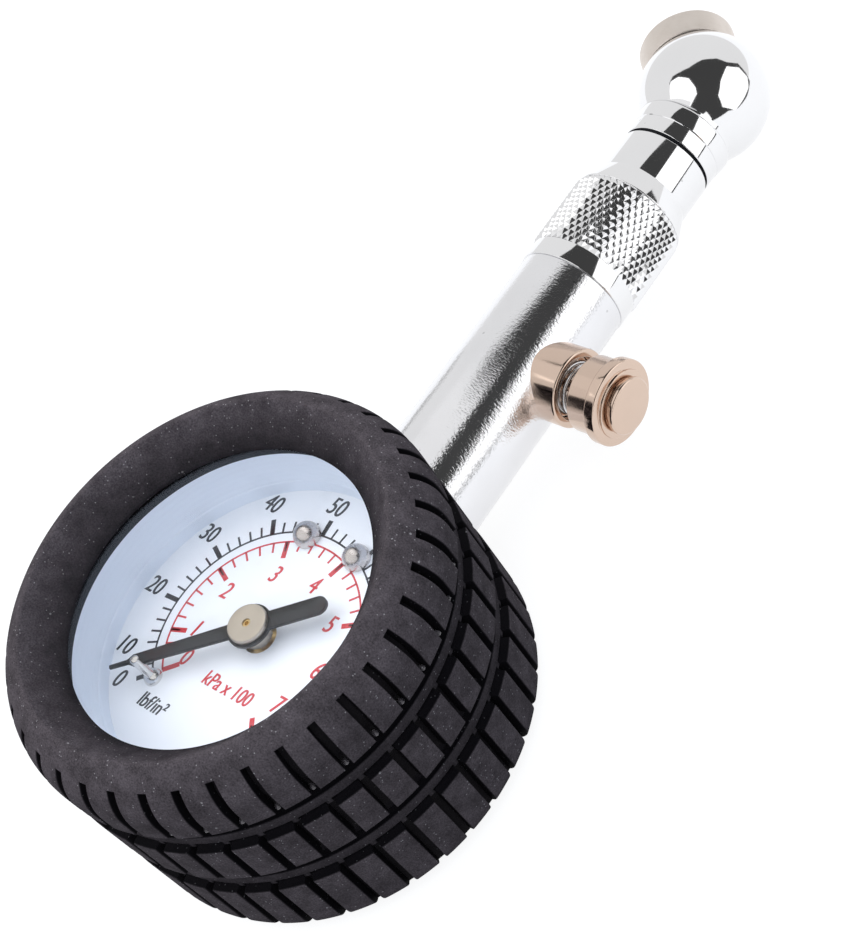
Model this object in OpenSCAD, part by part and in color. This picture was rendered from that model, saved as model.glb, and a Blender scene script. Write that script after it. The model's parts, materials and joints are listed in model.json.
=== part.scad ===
// Hand-held dial tyre gauge in a rubber boot shaped like a tyre, with a bleed
// button on its stem and a swivelling ball chuck.
//
// Frame: +Z is the dial's normal and the gauge axis, +Y runs along the stem from
// the gauge to the chuck, +X is the bleed button's side. The origin is on the
// gauge axis in the plane of the boot's back rim. Millimetres.

/* [Rubber boot] */
// Thickness of the rubber round the case
boot_wall = 5; // [4.6:0.1:6]
// Radius of the front shoulder
front_round = 7; // [5.5:0.5:7.5]
// Radius of the back shoulder
back_round = 2.5; // [2:0.5:4]
// Overlap of the lip on the lens's edge
lip_over = 2.8; // [2.2:0.1:3.2]
// Depth of the lip below the front crest
lip_drop = 4.9; // [4:0.1:5.5]
// Width of the dished cone between lip and crest
dish_w = 4.1; // [3.4:0.1:4.6]
// Thickness of the lip over the lens
lip_t = 0.4; // [0.3:0.1:0.8]
// Thickness of the rim that holds the back of the case
back_lip_t = 1.6; // [1.2:0.1:2]
// Overlap of that rim on the case's back
back_lip_w = 3.5; // [2.5:0.1:4.5]

/* [Tread] */
// Number of cross slots round the tread
slot_count = 40; // [30:1:44]
// Width of a cross slot
slot_w = 1; // [0.8:0.1:1.4]
// Depth of a cross slot
slot_depth = 1.4; // [1:0.1:1.6]
// Turn of the slot pattern about the gauge axis, in degrees
slot_phase = -0.7; // [-4:0.1:4]
// How far the slots reach past the start of the front shoulder
slot_reach = 4.5; // [3.5:0.1:5]
// Width of the middle row of blocks
row_w = 6.4; // [5.6:0.1:7]
// Width of each groove between the rows
groove_w = 3.9; // [3.4:0.1:4.4]
// Depth of the grooves
groove_depth = 2; // [1.6:0.1:2.2]
// Width of the rib that stands in each groove
rib_w = 1.5; // [1.2:0.1:1.8]
// Drop of the rib's top below the tread
rib_drop = 0.9; // [0.6:0.1:1.2]
// Gap between the rib and the next row of blocks behind it
rib_gap = 0.5; // [0.45:0.05:0.8]
// Shift of the middle row from the boot's middle, towards the dial
tread_shift = 0.5; // [0:0.1:1]

/* [Case and lens] */
// Outer diameter of the metal case
case_d = 43; // [42.6:0.1:44]
// Wall of the case
case_wall = 0.9; // [0.7:0.1:1.1]
// Thickness of the case's floor
floor_t = 1; // [0.8:0.1:1.4]
// Thickness of the lens
lens_t = 1.3; // [1:0.1:1.6]
// Thickness of the gasket under the lens
gasket_t = 1.4; // [1:0.1:1.8]
// Width of the gasket
gasket_w = 1; // [0.7:0.1:1.2]
// Depth of the dial's face below the lip
dial_drop = 10; // [9.5:0.1:10.5]
// Thickness of the dial plate
dial_t = 0.6; // [0.5:0.1:0.8]
// Height of the step in the white rim
rim_step_h = 1.8; // [1.4:0.1:2.4]
// Width of that step
rim_step_w = 0.5; // [0.4:0.05:0.6]
// Width of the white rim's foot on the dial
rim_foot = 2; // [1.6:0.1:2.4]
// Width of the white rim's top edge
rim_edge = 0.5; // [0.4:0.1:0.8]

/* [Dial fittings] */
// Spacing of the two dial screws
dial_screw_gap = 8.1; // [7:0.1:9]
// Distance from the case's wall in to the dial screws' line
dial_screw_drop = 7.7; // [7.2:0.1:8]
// Sideways shift of the dial screws
dial_screw_x = 1; // [-1:0.1:1.4]
// Radius of the screws' domed heads
dome_r = 1.5; // [1.3:0.1:1.7]
// Radius of the screws' shanks
dial_shank_r = 0.8; // [0.6:0.1:1]
// Length of thread below the dial
dial_shank_l = 4; // [3:0.1:5]
// Distance of the stop pin from the gauge axis
stop_pin_at = 13.6; // [12:0.1:14.4]
// Direction of the stop pin from the axis, in degrees
stop_pin_turn = 226.2; // [224:0.1:228]
// Radius of the stop pin
stop_pin_r = 0.55; // [0.45:0.05:0.65]
// Height of the stop pin above the dial
stop_pin_h = 4.4; // [3.6:0.1:5]
// Radius of the stop pin's domed foot
stop_foot_r = 1.15; // [1:0.05:1.4]

/* [Pointer] */
// Height of the pointer's underside above the dial
pointer_h = 2.15; // [1.8:0.05:2.6]
// Thickness of the pointer
pointer_t = 0.5; // [0.4:0.05:0.7]
// Radius of the pointer's eye
eye_r = 2.75; // [2.5:0.05:3]
// Length of the wide part of the pointer
blade_l = 14.8; // [13:0.1:15.2]
// Half width of the blade where it narrows to the tip
blade_half = 0.72; // [0.6:0.02:0.8]
// Length from the axis to the pointer's tip
pointer_l = 17.9; // [16.5:0.1:18]
// Half width of the fine tip
tip_half = 0.25; // [0.2:0.01:0.35]
// Length from the axis to the end of the tail
tail_l = 9.6; // [8:0.1:10.5]
// Half width of the tail
tail_half = 1.15; // [1:0.05:1.4]
// Radius of the metal disc over the eye
disc_r = 2.35; // [2.1:0.05:2.5]
// Thickness of the disc
disc_t = 0.6; // [0.4:0.05:0.8]
// Radius of the bush under the pointer
bush_r = 1.7; // [1.4:0.05:1.9]
// Turn of the pointer from its rest to full scale, in degrees
pointer_sweep = 268; // [250:1:270]

/* [Movement] */
// Module of the sector and pinion teeth
gear_module = 0.22; // [0.21:0.005:0.23]
// Teeth on the pinion
pinion_teeth = 10; // [10:1:10]
// Teeth on the sector's full circle
sector_teeth = 80; // [78:1:82]
// Radius of the two arbors
arbor_r = 0.8; // [0.6:0.05:0.9]
// Radius of the sector's hub
sector_hub_r = 2; // [1.6:0.1:2.2]
// Length of the sector's tail arm
tail_arm = 4.5; // [4:0.1:4.8]
// Thickness of the sector
sector_t = 0.8; // [0.6:0.1:1]
// Width of the sector's rim and arms
sector_web = 1.4; // [1:0.1:1.6]
// Thickness of the link
link_t = 0.6; // [0.5:0.05:0.7]
// Gap between the link and the sector
link_gap = 0.45; // [0.3:0.05:0.6]
// Radius of the link's pins
tail_pin_r = 0.4; // [0.3:0.05:0.45]
// Radius of the movement screws' heads
plate_head_r = 1.3; // [1.1:0.1:1.5]
// Height of the movement screws' heads
plate_head_t = 0.8; // [0.6:0.1:1]
// Length of the movement screws' thread in the block
plate_thread_l = 2.4; // [2:0.1:3]
// Distance of each movement screw from the middle
plate_screw_x = 4; // [3.6:0.1:4.4]
// Thickness of each movement plate
plate_t = 0.8; // [0.6:0.05:1]
// Gap between the movement plates and the end of the curved tube
plate_clear = 0.8; // [0.6:0.1:1.1]
// Height of the sector above the lower plate
sector_lift = 1.6; // [1.5:0.1:1.8]
// Room between the sector and the upper plate
sector_room = 1.5; // [1.2:0.1:1.8]
// Gap between the upper plate and the dial
plate_drop = 0.8; // [0.5:0.1:1]
// Radius of the pillars
pillar_r = 1.1; // [0.9:0.1:1.2]
// Turns of the hairspring
hair_turns = 4; // [3:1:5]
// Thickness of the hairspring's strip
hair_t = 0.14; // [0.1:0.01:0.18]
// Height of the hairspring's strip
hair_h = 0.4; // [0.3:0.05:0.5]

/* [Bourdon tube] */
// Distance from the case's wall in to the curved tube's middle line
tube_drop = 5.6; // [5.2:0.1:5.9]
// Width of the tube's section
bourdon_w = 2.2; // [1.8:0.1:2.4]
// Height of the tube's section
bourdon_h = 5.4; // [4.6:0.1:5.4]
// Wall of the curved tube
bourdon_wall = 0.35; // [0.3:0.05:0.45]
// Thickness of the cap on the tube's end
tip_cap = 0.5; // [0.4:0.05:0.7]
// Width of the socket block across the stem
block_w = 16; // [15:0.5:17]
// Depth of the thick part of the block, from the case wall inwards
block_l = 9.6; // [9.2:0.1:10]
// Reach of the block's ledge beyond its thick part
ledge_l = 2.8; // [2.4:0.1:3]
// Radius of the block's threaded spigot
spigot_r = 4.8; // [4.4:0.1:5]
// Length of the spigot outside the case
spigot_l = 11; // [9:0.5:13]

/* [Stem] */
// Height of the stem's axis above the boot's back plane
stem_z = 10.3; // [10.1:0.1:10.6]
// Diameter of the stem at the gauge
stem_root_d = 15; // [14.8:0.1:15.6]
// Diameter of the stem at the knurled collar
stem_tip_d = 14.4; // [14:0.1:14.6]
// Length from the gauge axis to the end of the stem
stem_end = 58.4; // [57:0.1:61]
// Radius of the air passage
passage_r = 2; // [1.8:0.1:2.2]

/* [Knurled collar] */
// Length of the plain band next to the stem
band_l = 2.6; // [2:0.1:3.2]
// Diameter of the plain band
band_d = 14.7; // [14.4:0.1:15]
// Length of the knurled part
knurl_l = 10.3; // [8:0.1:12]
// Diameter over the knurl
knurl_d = 15.2; // [14.9:0.1:15.6]
// Length of the taper down to the neck
taper_l = 3.3; // [2:0.1:4]
// Diameter of the neck
neck_d = 12.3; // [12:0.1:12.8]
// Length of the neck
neck_l = 5.5; // [4:0.1:7]
// Radius of the collar's male thread
thread_r = 6; // [5.8:0.1:6.2]
// Length of the collar's male thread
thread_l = 6; // [5:0.5:6.5]
// Radius of the chamber behind the swivel
chamber_r = 4.9; // [4.8:0.05:5.1]
// Reach of that chamber beyond the plain band
chamber_l = 6; // [5:0.1:7]

/* [Ball chuck] */
// Diameter of the ball
ball_d = 17.2; // [16.8:0.1:18]
// Length of the ball's plain collar
head_collar_l = 2.25; // [1.8:0.05:2.8]
// Length of the flare that carries the ball
flare_l = 2.4; // [1.8:0.1:3]
// Diameter of the flare at the ball
flare_d = 12.9; // [12.6:0.1:13.2]
// Diameter of the ball where it leaves the flare
ball_root_d = 11.9; // [11.4:0.1:12.2]
// Shift of the ball's centre off the stem axis, towards its mouth
ball_shift = 1; // [0:0.1:1.2]
// Angle between the mouth and the stem, in degrees
mouth_tilt = 45; // [40:1:50]
// Turn of the mouth about the stem in the rest pose, in degrees
mouth_turn = 175; // [0:5:360]
// Radius of the swivel spigot
swivel_r = 4; // [3.9:0.05:4.1]
// Length of the spigot behind its clip
swivel_tail = 0.8; // [0.6:0.1:1.2]
// Thickness of the swivel's clip
clip_t = 0.8; // [0.6:0.05:1]
// Depth of the clip's groove
clip_groove = 0.6; // [0.4:0.05:0.8]
// Gap between the clip's ends
clip_gap = 1.5; // [1:0.1:2.5]
// Radius of the hidden seal's section
swivel_seal_wire = 0.55; // [0.45:0.05:0.6]
// Thickness of the black ring between neck and ball
ring_t = 0.4; // [0.3:0.05:0.6]
// Radius of the air hole in the swivel
swivel_hole_r = 1.5; // [1.2:0.1:1.7]
// Height of the mouth's rim above the ball
mouth_lift = 1.5; // [1.2:0.1:2]
// Outer diameter of the mouth's cap
cap_d = 12.7; // [12.4:0.1:12.9]
// Radius of the mouth's bore
mouth_r = 4.1; // [4:0.05:4.2]
// Depth of the mouth down to its seal
mouth_depth = 3.2; // [3:0.1:3.5]
// Width of the step on which the mouth's bore ends
seal_step = 0.3; // [0.2:0.05:0.4]
// Thickness of the seal in the mouth
seal_t = 1.9; // [1.5:0.1:2]
// Radius of the hole in the seal
seal_hole_r = 1.7; // [1.5:0.1:1.9]
// Travel of the check valve
check_travel = 1.2; // [1:0.1:1.3]
// Radius of the check valve's disc
check_r = 2.9; // [2.7:0.05:3]
// Thickness of the check valve's disc
check_t = 1.2; // [1:0.1:1.3]
// Radius of the valve's depressor pin
depressor_r = 0.8; // [0.6:0.1:1]
// Radius of the cap's thread in the ball
cap_thread_r = 5.2; // [5:0.1:5.4]
// Length of that thread
cap_thread_l = 3.4; // [3:0.1:3.8]
// Length of the check valve's spring when it is pressed
check_spring_pack = 3.1; // [2.8:0.1:3.5]
// Mean radius of that spring
check_spring_r = 2.3; // [2:0.05:2.4]
// Radius of its wire
check_wire_r = 0.22; // [0.18:0.01:0.25]
// Its turns
check_spring_turns = 4; // [3:1:5]

/* [Bleed valve] */
// Distance of the bleed valve from the gauge axis
bleed_y = 46.2; // [42:0.1:47]
// Radius of the valve's body
bleed_r = 4.9; // [4.6:0.1:5.2]
// Distance from the stem axis to the body's end
bleed_body_end = 9.9; // [9.6:0.1:10.6]
// Travel of the head
bleed_travel = 1.4; // [1.2:0.05:1.5]
// Gap that is left when the head is pressed
bleed_rest = 0.35; // [0.2:0.05:0.6]
// Radius of the band behind the head's flange
head_band_r = 4.7; // [4.4:0.1:5]
// Length of that band
head_band_l = 3.05; // [2.6:0.05:3.4]
// Radius of the head's flange
head_flange_r = 5.3; // [5.1:0.1:5.6]
// Thickness of the flange
head_flange_l = 1.5; // [1.2:0.1:1.8]
// Radius of the button
button_r = 3.5; // [3.3:0.05:3.8]
// Height of the button above the flange
button_h = 1.4; // [1.2:0.1:1.8]
// Radius of the neck under the button's face
button_neck_r = 3.1; // [2.8:0.1:3.2]
// Radius of the plunger's rod
rod_r = 0.7; // [0.6:0.05:0.8]
// Radius of the valve's spigot in the stem
bleed_spigot_r = 3; // [2.8:0.1:3.4]
// Radius of the hollow that holds the spring
spring_well_r = 3.9; // [3.8:0.05:4]
// Depth of that hollow
spring_well_l = 1.8; // [1.4:0.1:1.9]
// Mean radius of the bleed spring
bleed_spring_r = 3.1; // [2.9:0.05:3.2]
// Radius of the bleed spring's wire
bleed_wire_r = 0.3; // [0.25:0.01:0.32]
// Turns of the bleed spring
bleed_spring_turns = 3; // [3:1:4]

/* [Clearances] */
// Radial clearance of turning and sliding fits
running = 0.05; // [0.03:0.01:0.08]
// Gap left at a stop or a seat
seat_gap = 0.02; // [0.01:0.01:0.05]
// Clearance of the boot's hole round the stem
boot_hole_clear = 0.1; // [0.05:0.05:0.2]
// Clearance between fixed pieces that drop into each other
loose = 0.1; // [0.05:0.05:0.15]

/* [Hidden] */
$fn = 96;
over = 1;

// Heights along the gauge axis, stacked up from the stem's axis
link_z = stem_z + bourdon_h / 2 + tip_cap + running;
sector_z = link_z + link_t + link_gap;
lower_top = sector_z - sector_lift;
lower_under = lower_top - plate_t;
plate_gap = sector_lift + sector_t + sector_room;
upper_top = lower_top + plate_gap + plate_t;
dial_under = upper_top + plate_drop;
dial_z = dial_under + dial_t;
lip_z = dial_z + dial_drop;
boot_w = lip_z + lip_drop;
case_top = lip_z - lip_t;
lens_z = case_top - lens_t;
rim_top = lens_z - gasket_t;
floor_top = back_lip_t + floor_t;
tread_mid = boot_w / 2 + tread_shift;
groove_z = [for (side = [-1, 1]) tread_mid + side * (row_w + groove_w) / 2 - groove_w / 2];
slot_top = boot_w - front_round + slot_reach;

// Radii of the case and the boot
case_r = case_d / 2;
case_in = case_r - case_wall;
boot_r = case_r + boot_wall;
lip_r = case_r - lip_over;
dial_screw_y = case_in - dial_screw_drop;
bourdon_r = case_in - tube_drop;
tip_w = bourdon_w + 2 * tip_cap;
plate_r = bourdon_r - tip_w / 2 - plate_clear;

// Pointer
pointer_z = dial_z + pointer_h;
pointer_top = pointer_z + pointer_t;
contact_turn = asin((blade_half + stop_pin_r + seat_gap) / stop_pin_at);
pointer_turn = stop_pin_turn - contact_turn;

// Sector and pinion
pitch_ratio = sector_teeth / pinion_teeth;
sector_r = gear_module * sector_teeth / 2;
pinion_r = gear_module * pinion_teeth / 2;
gear_gap = sector_r + pinion_r;
addendum = 0.8 * gear_module;
dedendum = 1.15 * gear_module;
sector_sweep = pointer_sweep / pitch_ratio;
pinion_l = 2 * sector_t;
pinion_z = sector_z - (pinion_l - sector_t) / 2;
collet_r = arbor_r + 0.35;
tail_turn = 270 - sector_sweep / 2;
arbor_foot = lower_under + plate_t / 4;
tail_pin = [gear_gap + tail_arm * cos(tail_turn), tail_arm * sin(tail_turn)];
pillar_places = [[-4.4, 4.2], [8, 6.2], [3.4, -8.2]];

// Link and the end of the curved tube
link_y = -tail_arm * (1 + cos(sector_sweep / 2)) / 2;
tip_turn = asin(link_y / bourdon_r);
tip_x = bourdon_r * cos(tip_turn);
link_l = tip_x - tail_pin[0];
link_slot = 2 * tail_arm * sin(sector_sweep / 2);
link_eye_r = 1.25;
link_slot_r = tail_pin_r + tail_arm * (1 - cos(sector_sweep / 2)) + running;
bourdon_start = 114;

// Socket block and stem
block_y = case_in - block_l;
ledge_y = block_y - ledge_l;
plate_screw_y = (ledge_y + block_y) / 2;
block_z = stem_z - spigot_r - 0.9;
spigot_end = case_r + spigot_l;
collar_y = stem_end;
neck_end = collar_y + band_l + knurl_l + taper_l + neck_l;
neck_r = neck_d / 2;
chamber_end = collar_y + band_l + chamber_l;

// Swivel and ball
ring_y = neck_end + running;
head_y = ring_y + ring_t;
clip_y = chamber_end - running - clip_t;
clip_groove_r = swivel_r - clip_groove;
swivel_end = clip_y - swivel_tail;
swivel_seal_y = (chamber_end + neck_end) / 2;
ball_r = ball_d / 2;
flare_y = head_y + head_collar_l;
ball_y = flare_y + flare_l + sqrt(pow(ball_r, 2) - pow(ball_root_d / 2, 2));
ball_flat = sqrt(pow(ball_r, 2) - pow(cap_d / 2 - 0.1, 2));

// Chuck, measured out from the ball's centre along the mouth
cap_r = cap_d / 2;
cap_seam = 0.2;
cap_thread_in = ball_flat - cap_thread_l;
mouth_reach = ball_r + mouth_lift;
seal_front = mouth_reach - mouth_depth;
seal_back = seal_front - seal_t;
seal_r = mouth_r - seal_step;
check_well_r = check_r + 0.5;
check_front = seal_back - seat_gap;
check_back = check_front - check_t;
spring_floor = check_back - check_travel - check_spring_pack;
spring_room_r = check_spring_r + 0.7;
air_end = ball_y + (spring_floor + ball_shift * sin(mouth_tilt)) / cos(mouth_tilt);

// Bleed valve, measured out from the stem's axis
well_floor = bleed_body_end - spring_well_l;
head_in = bleed_body_end + bleed_travel + bleed_rest;
flange_in = head_in + head_band_l;
flange_out = flange_in + head_flange_l;
button_out = flange_out + button_h;
step_r = 4.2;
step_l = 0.35;
valve_seat = 1.6;
valve_seal_t = 0.5;
plug_t = 0.8;
plug_r = 1.3;

// Places its children on the stem's axis, their +Z along the stem
module on_stem(y) {
    translate([0, y, stem_z]) rotate([-90, 0, 0]) children();
}

// Places its children on the bleed valve's axis, their +Z out of the valve
module on_bleed(x) {
    translate([x, bleed_y, stem_z]) rotate([0, 90, 0]) children();
}

// Places its children on the mouth's axis, their +Z out of the mouth
module on_mouth(d) {
    translate([0, ball_y, stem_z]) rotate([0, -mouth_turn, 0]) translate([ball_shift, 0, 0])
        rotate([0, 0, -mouth_tilt]) rotate([-90, 0, 0]) translate([0, 0, d]) children();
}

// A tube from z = 0 up
module ring(outer, inner, h) {
    difference() {
        cylinder(r = outer, h = h);
        translate([0, 0, -over]) cylinder(r = inner, h = h + 2 * over);
    }
}

// Disc with its upper edge rounded by r
module soft_disc(radius, h, r) {
    rotate_extrude() {
        square([radius, h - r]);
        square([radius - r, h]);
        translate([radius - r, h - r]) intersection() {
            circle(r = r);
            square(r);
        }
    }
}

// One unbroken wire wound on +Z, as a swept six-sided tube with flat ends
module coil(radius, wire, height, turns, per_turn = 20) {
    sides = 6;
    steps = turns * per_turn;
    rings = [for (i = [0:steps]) let (a = 360 * i / per_turn, z = height * i / steps)
        for (k = [0:sides - 1]) let (b = 360 * k / sides, d = radius + wire * cos(b))
            [d * cos(a), d * sin(a), z + wire * sin(b)]];
    side_faces = [for (i = [0:steps - 1]) for (k = [0:sides - 1])
        let (n = (k + 1) % sides, p = i * sides, q = p + sides)
            each [[p + k, p + n, q + n], [p + k, q + n, q + k]]];
    start_faces = [for (k = [1:sides - 2]) [0, k + 1, k]];
    end_faces = [for (k = [1:sides - 2]) [steps * sides, steps * sides + k, steps * sides + k + 1]];
    middles = [for (i = [0:steps]) let (a = 360 * i / per_turn)
        [radius * cos(a), radius * sin(a), height * i / steps]];
    spans = [for (i = [0:steps - per_turn / 2]) for (j = [i + per_turn / 2:steps]) norm(middles[j] - middles[i])];
    echo(str("Least gap between a spring's turns: ", min(spans) - 2 * wire, " mm"));
    polyhedron(rings, concat(side_faces, start_faces, end_faces));
}

// ---------------------------------------------------------------- boot

// Half section of the solid tyre: tread, two shoulders and the dished front
module boot_section() {
    difference() {
        union() {
            translate([0, back_round]) square([boot_r, boot_w - front_round - back_round]);
            square([boot_r - back_round, back_round + over]);
            square([boot_r - front_round, boot_w]);
            translate([boot_r - back_round, back_round]) circle(r = back_round);
            translate([boot_r - front_round, boot_w - front_round]) circle(r = front_round);
        }
        polygon([[0, lip_z], [lip_r, lip_z], [lip_r + dish_w, boot_w], [lip_r + dish_w, boot_w + over],
                 [0, boot_w + over]]);
        square([case_r - back_lip_w, back_lip_t]);
        translate([0, back_lip_t]) square([case_r, case_top - back_lip_t]);
        square([lip_r, boot_w]);
        for (z = groove_z)
            translate([boot_r - groove_depth, z]) square([groove_depth + over, groove_w]);
    }
}

// Half section of the ribs, rooted in the grooves' floors
module rib_section() {
    root = boot_r - groove_depth - slot_depth / 2;
    for (z = groove_z)
        translate([root, z + rib_gap]) square([boot_r - rib_drop - root, rib_w]);
}

// What one cross slot takes away: it follows the front shoulder and ends in a wall
module slot_section() {
    difference() {
        translate([boot_r - front_round, -over]) square([front_round + over, slot_top + over]);
        translate([0, -2 * over]) square([boot_r - slot_depth, boot_w - front_round + 2 * over]);
        translate([boot_r - front_round, boot_w - front_round]) circle(r = front_round - slot_depth);
    }
}

module rubber_boot() {
    color("#3a3637") difference() {
        union() {
            difference() {
                rotate_extrude() boot_section();
                for (i = [0:slot_count - 1]) rotate([90, 0, slot_phase + 360 * i / slot_count])
                    translate([0, 0, -slot_w / 2]) linear_extrude(slot_w) slot_section();
            }
            rotate_extrude() rib_section();
        }
        on_stem(case_r / 2) cylinder(r = stem_root_d / 2 + boot_hole_clear, h = boot_r);
    }
}

// ---------------------------------------------------------------- case, lens and dial

module case_shell() {
    color("#4a4c50") difference() {
        translate([0, 0, back_lip_t]) cylinder(r = case_r, h = case_top - back_lip_t);
        translate([0, 0, floor_top]) cylinder(r = case_in, h = case_top);
        on_stem(case_r / 2) cylinder(r = spigot_r + loose, h = case_r);
    }
}

module lens() {
    color([0.86, 0.93, 0.97, 0.35]) translate([0, 0, lens_z]) cylinder(r = case_in - loose, h = lens_t);
}

module lens_gasket() {
    color("#141414") translate([0, 0, rim_top]) ring(case_in, case_in - gasket_w, gasket_t);
}

module dial_rim() {
    foot_in = case_in - rim_foot;
    color("#eef3fb") rotate_extrude()
        polygon([[foot_in, dial_z], [case_in, dial_z], [case_in, rim_top], [case_in - rim_edge, rim_top],
                 [foot_in + 2 * rim_step_w, dial_z + rim_step_h],
                 [foot_in + rim_step_w, dial_z + rim_step_h - rim_step_w]]);
}

module dial_plate() {
    color("#f6f8fc") translate([0, 0, dial_under]) difference() {
        cylinder(r = case_in - loose, h = dial_t);
        translate([0, 0, -over]) cylinder(r = bush_r + 4 * loose, h = dial_t + 2 * over);
        for (side = [-0.5, 0.5]) translate([dial_screw_x + side * dial_screw_gap, dial_screw_y, -over])
            cylinder(r = dial_shank_r, h = dial_t + 2 * over);
        rotate([0, 0, stop_pin_turn]) translate([stop_pin_at, 0, -over])
            cylinder(r = stop_pin_r, h = dial_t + 2 * over);
    }
}

module dial_screws() {
    head_h = dome_r * 1.2;
    color("#c9ccd0") for (side = [-0.5, 0.5])
        translate([dial_screw_x + side * dial_screw_gap, dial_screw_y, 0]) {
            intersection() {
                translate([0, 0, dial_z + head_h - dome_r]) sphere(r = dome_r);
                translate([0, 0, dial_z]) cylinder(r = 2 * dome_r, h = 2 * dome_r);
            }
            translate([0, 0, dial_under - dial_shank_l])
                cylinder(r = dial_shank_r, h = dial_shank_l + dial_t + dome_r / 2);
        }
}

module stop_pin() {
    foot_h = 0.9;
    color("#c8bdb2") rotate([0, 0, stop_pin_turn]) translate([stop_pin_at, 0, 0]) {
        translate([0, 0, dial_under]) cylinder(r = stop_pin_r, h = stop_pin_h + dial_t);
        translate([0, 0, dial_z]) intersection() {
            sphere(r = stop_foot_r);
            cylinder(r = 2 * stop_foot_r, h = foot_h);
        }
    }
}

// ---------------------------------------------------------------- pointer

module pointer() {
    blade_root_half = blade_half * 1.3;
    color("#1d1d1f") rotate([0, 0, pointer_turn]) translate([0, 0, pointer_z])
        linear_extrude(pointer_t) difference() {
            union() {
                circle(r = eye_r);
                polygon([[0, -blade_root_half], [blade_l, -blade_half], [blade_l + blade_half, -tip_half],
                         [pointer_l, -tip_half * 0.8], [pointer_l, tip_half * 0.8],
                         [blade_l + blade_half, tip_half], [blade_l, blade_half], [0, blade_root_half]]);
                translate([-(tail_l - tail_half), 0]) circle(r = tail_half);
                translate([-(tail_l - tail_half), -tail_half]) square([tail_l - tail_half, 2 * tail_half]);
            }
            circle(r = arbor_r);
        }
}

module pointer_disc() {
    color("#d9cfc2") {
        translate([0, 0, pointer_top]) difference() {
            soft_disc(disc_r, disc_t, disc_t / 2);
            translate([0, 0, -over]) cylinder(r = arbor_r, h = disc_t + 2 * over);
        }
        translate([0, 0, dial_z + loose]) ring(bush_r, arbor_r, pointer_h - loose);
    }
}

// Outline of a round gear or a run of its teeth: tooth i stands at start + i * pitch degrees
function tooth_points(teeth, count, start, radius) =
    let (pitch = 360 / teeth, tip = radius + addendum, root = radius - dedendum)
    [for (i = [0:count - 1]) let (a = start + i * pitch)
        each [[root, a - 0.24 * pitch], [tip, a - 0.1 * pitch], [tip, a + 0.1 * pitch],
              [root, a + 0.24 * pitch]]];

function to_xy(polar) = [for (p = polar) [p[0] * cos(p[1]), p[0] * sin(p[1])]];

module pointer_arbor() {
    arbor_top = pointer_top + disc_t * 0.7;
    color("#b8913f") difference() {
        union() {
            translate([0, 0, arbor_foot]) cylinder(r = arbor_r, h = arbor_top - arbor_foot);
            translate([0, 0, pinion_z]) linear_extrude(pinion_l)
                polygon(to_xy(tooth_points(pinion_teeth, pinion_teeth, 0, pinion_r)));
            translate([0, 0, lower_top + 0.2]) cylinder(r = collet_r, h = 0.8);
        }
        translate([0, 0, arbor_top - 0.3]) cylinder(r = arbor_r / 3, h = over);
    }
}

// ---------------------------------------------------------------- movement

// Gear arc with two arms, a hub on its arbor and a tail arm for the link
module sector_gear() {
    pitch = 360 / sector_teeth;
    count = ceil(sector_sweep / pitch) + 3;
    first = 180 - (count - 2.5) * pitch;
    last = first + (count - 1) * pitch;
    web_r = sector_r - dedendum - sector_web;
    inner = [for (i = [0:count - 1]) [web_r, last - i * pitch]];
    color("#c19a45") translate([gear_gap, 0, 0]) {
        translate([0, 0, sector_z]) linear_extrude(sector_t) difference() {
            union() {
                polygon(to_xy(concat(tooth_points(sector_teeth, count, first, sector_r), inner)));
                for (a = [first + pitch, last - pitch]) rotate(a)
                    translate([0, -sector_web / 2]) square([web_r + sector_web / 2, sector_web]);
                circle(r = sector_hub_r);
                rotate(tail_turn) translate([0, -sector_web / 2]) square([tail_arm, sector_web]);
                rotate(tail_turn) translate([tail_arm, 0]) circle(r = sector_web / 2 + 0.2);
            }
            rotate(tail_turn) translate([tail_arm, 0]) circle(r = tail_pin_r + running);
        }
        translate([0, 0, arbor_foot]) cylinder(r = arbor_r, h = upper_top - arbor_foot);
    }
}

// Flat link between the sector's tail and the curved tube's end
module link_bar() {
    color("#b9bcc0") translate([tail_pin[0], tail_pin[1], link_z]) {
        linear_extrude(link_t) difference() {
            union() {
                circle(r = link_eye_r);
                translate([0, -link_eye_r]) square([link_l, 2 * link_eye_r]);
                translate([link_l, 0]) circle(r = link_eye_r);
            }
            translate([link_l, 0]) circle(r = link_slot_r);
            translate([link_l - link_slot, 0]) circle(r = link_slot_r);
            translate([link_l - link_slot, -link_slot_r]) square([link_slot, 2 * link_slot_r]);
        }
        cylinder(r = tail_pin_r, h = sector_z + sector_t - link_z + 0.2);
    }
}

// Round plate cut off straight at y_max, with bores for the two arbors
module movement_plate(z, y_max) {
    x_min = -6.5;
    translate([0, 0, z]) linear_extrude(plate_t) difference() {
        intersection() {
            circle(r = plate_r);
            translate([x_min, -plate_r]) square([2 * plate_r, plate_r + y_max]);
        }
        circle(r = arbor_r + running);
        translate([gear_gap, 0]) circle(r = arbor_r + running);
        if (y_max > ledge_y) for (side = [-1, 1])
            translate([side * plate_screw_x, plate_screw_y]) circle(r = dial_shank_r);
    }
}

module lower_plate() {
    color("#c9a24c") movement_plate(lower_under, block_y - loose);
}

module upper_plate() {
    color("#c9a24c") movement_plate(upper_top - plate_t, ledge_y);
}

module movement_pillars() {
    color("#b8913f") for (p = pillar_places) translate([p[0], p[1], lower_top])
        cylinder(r = pillar_r, h = plate_gap);
}

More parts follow.
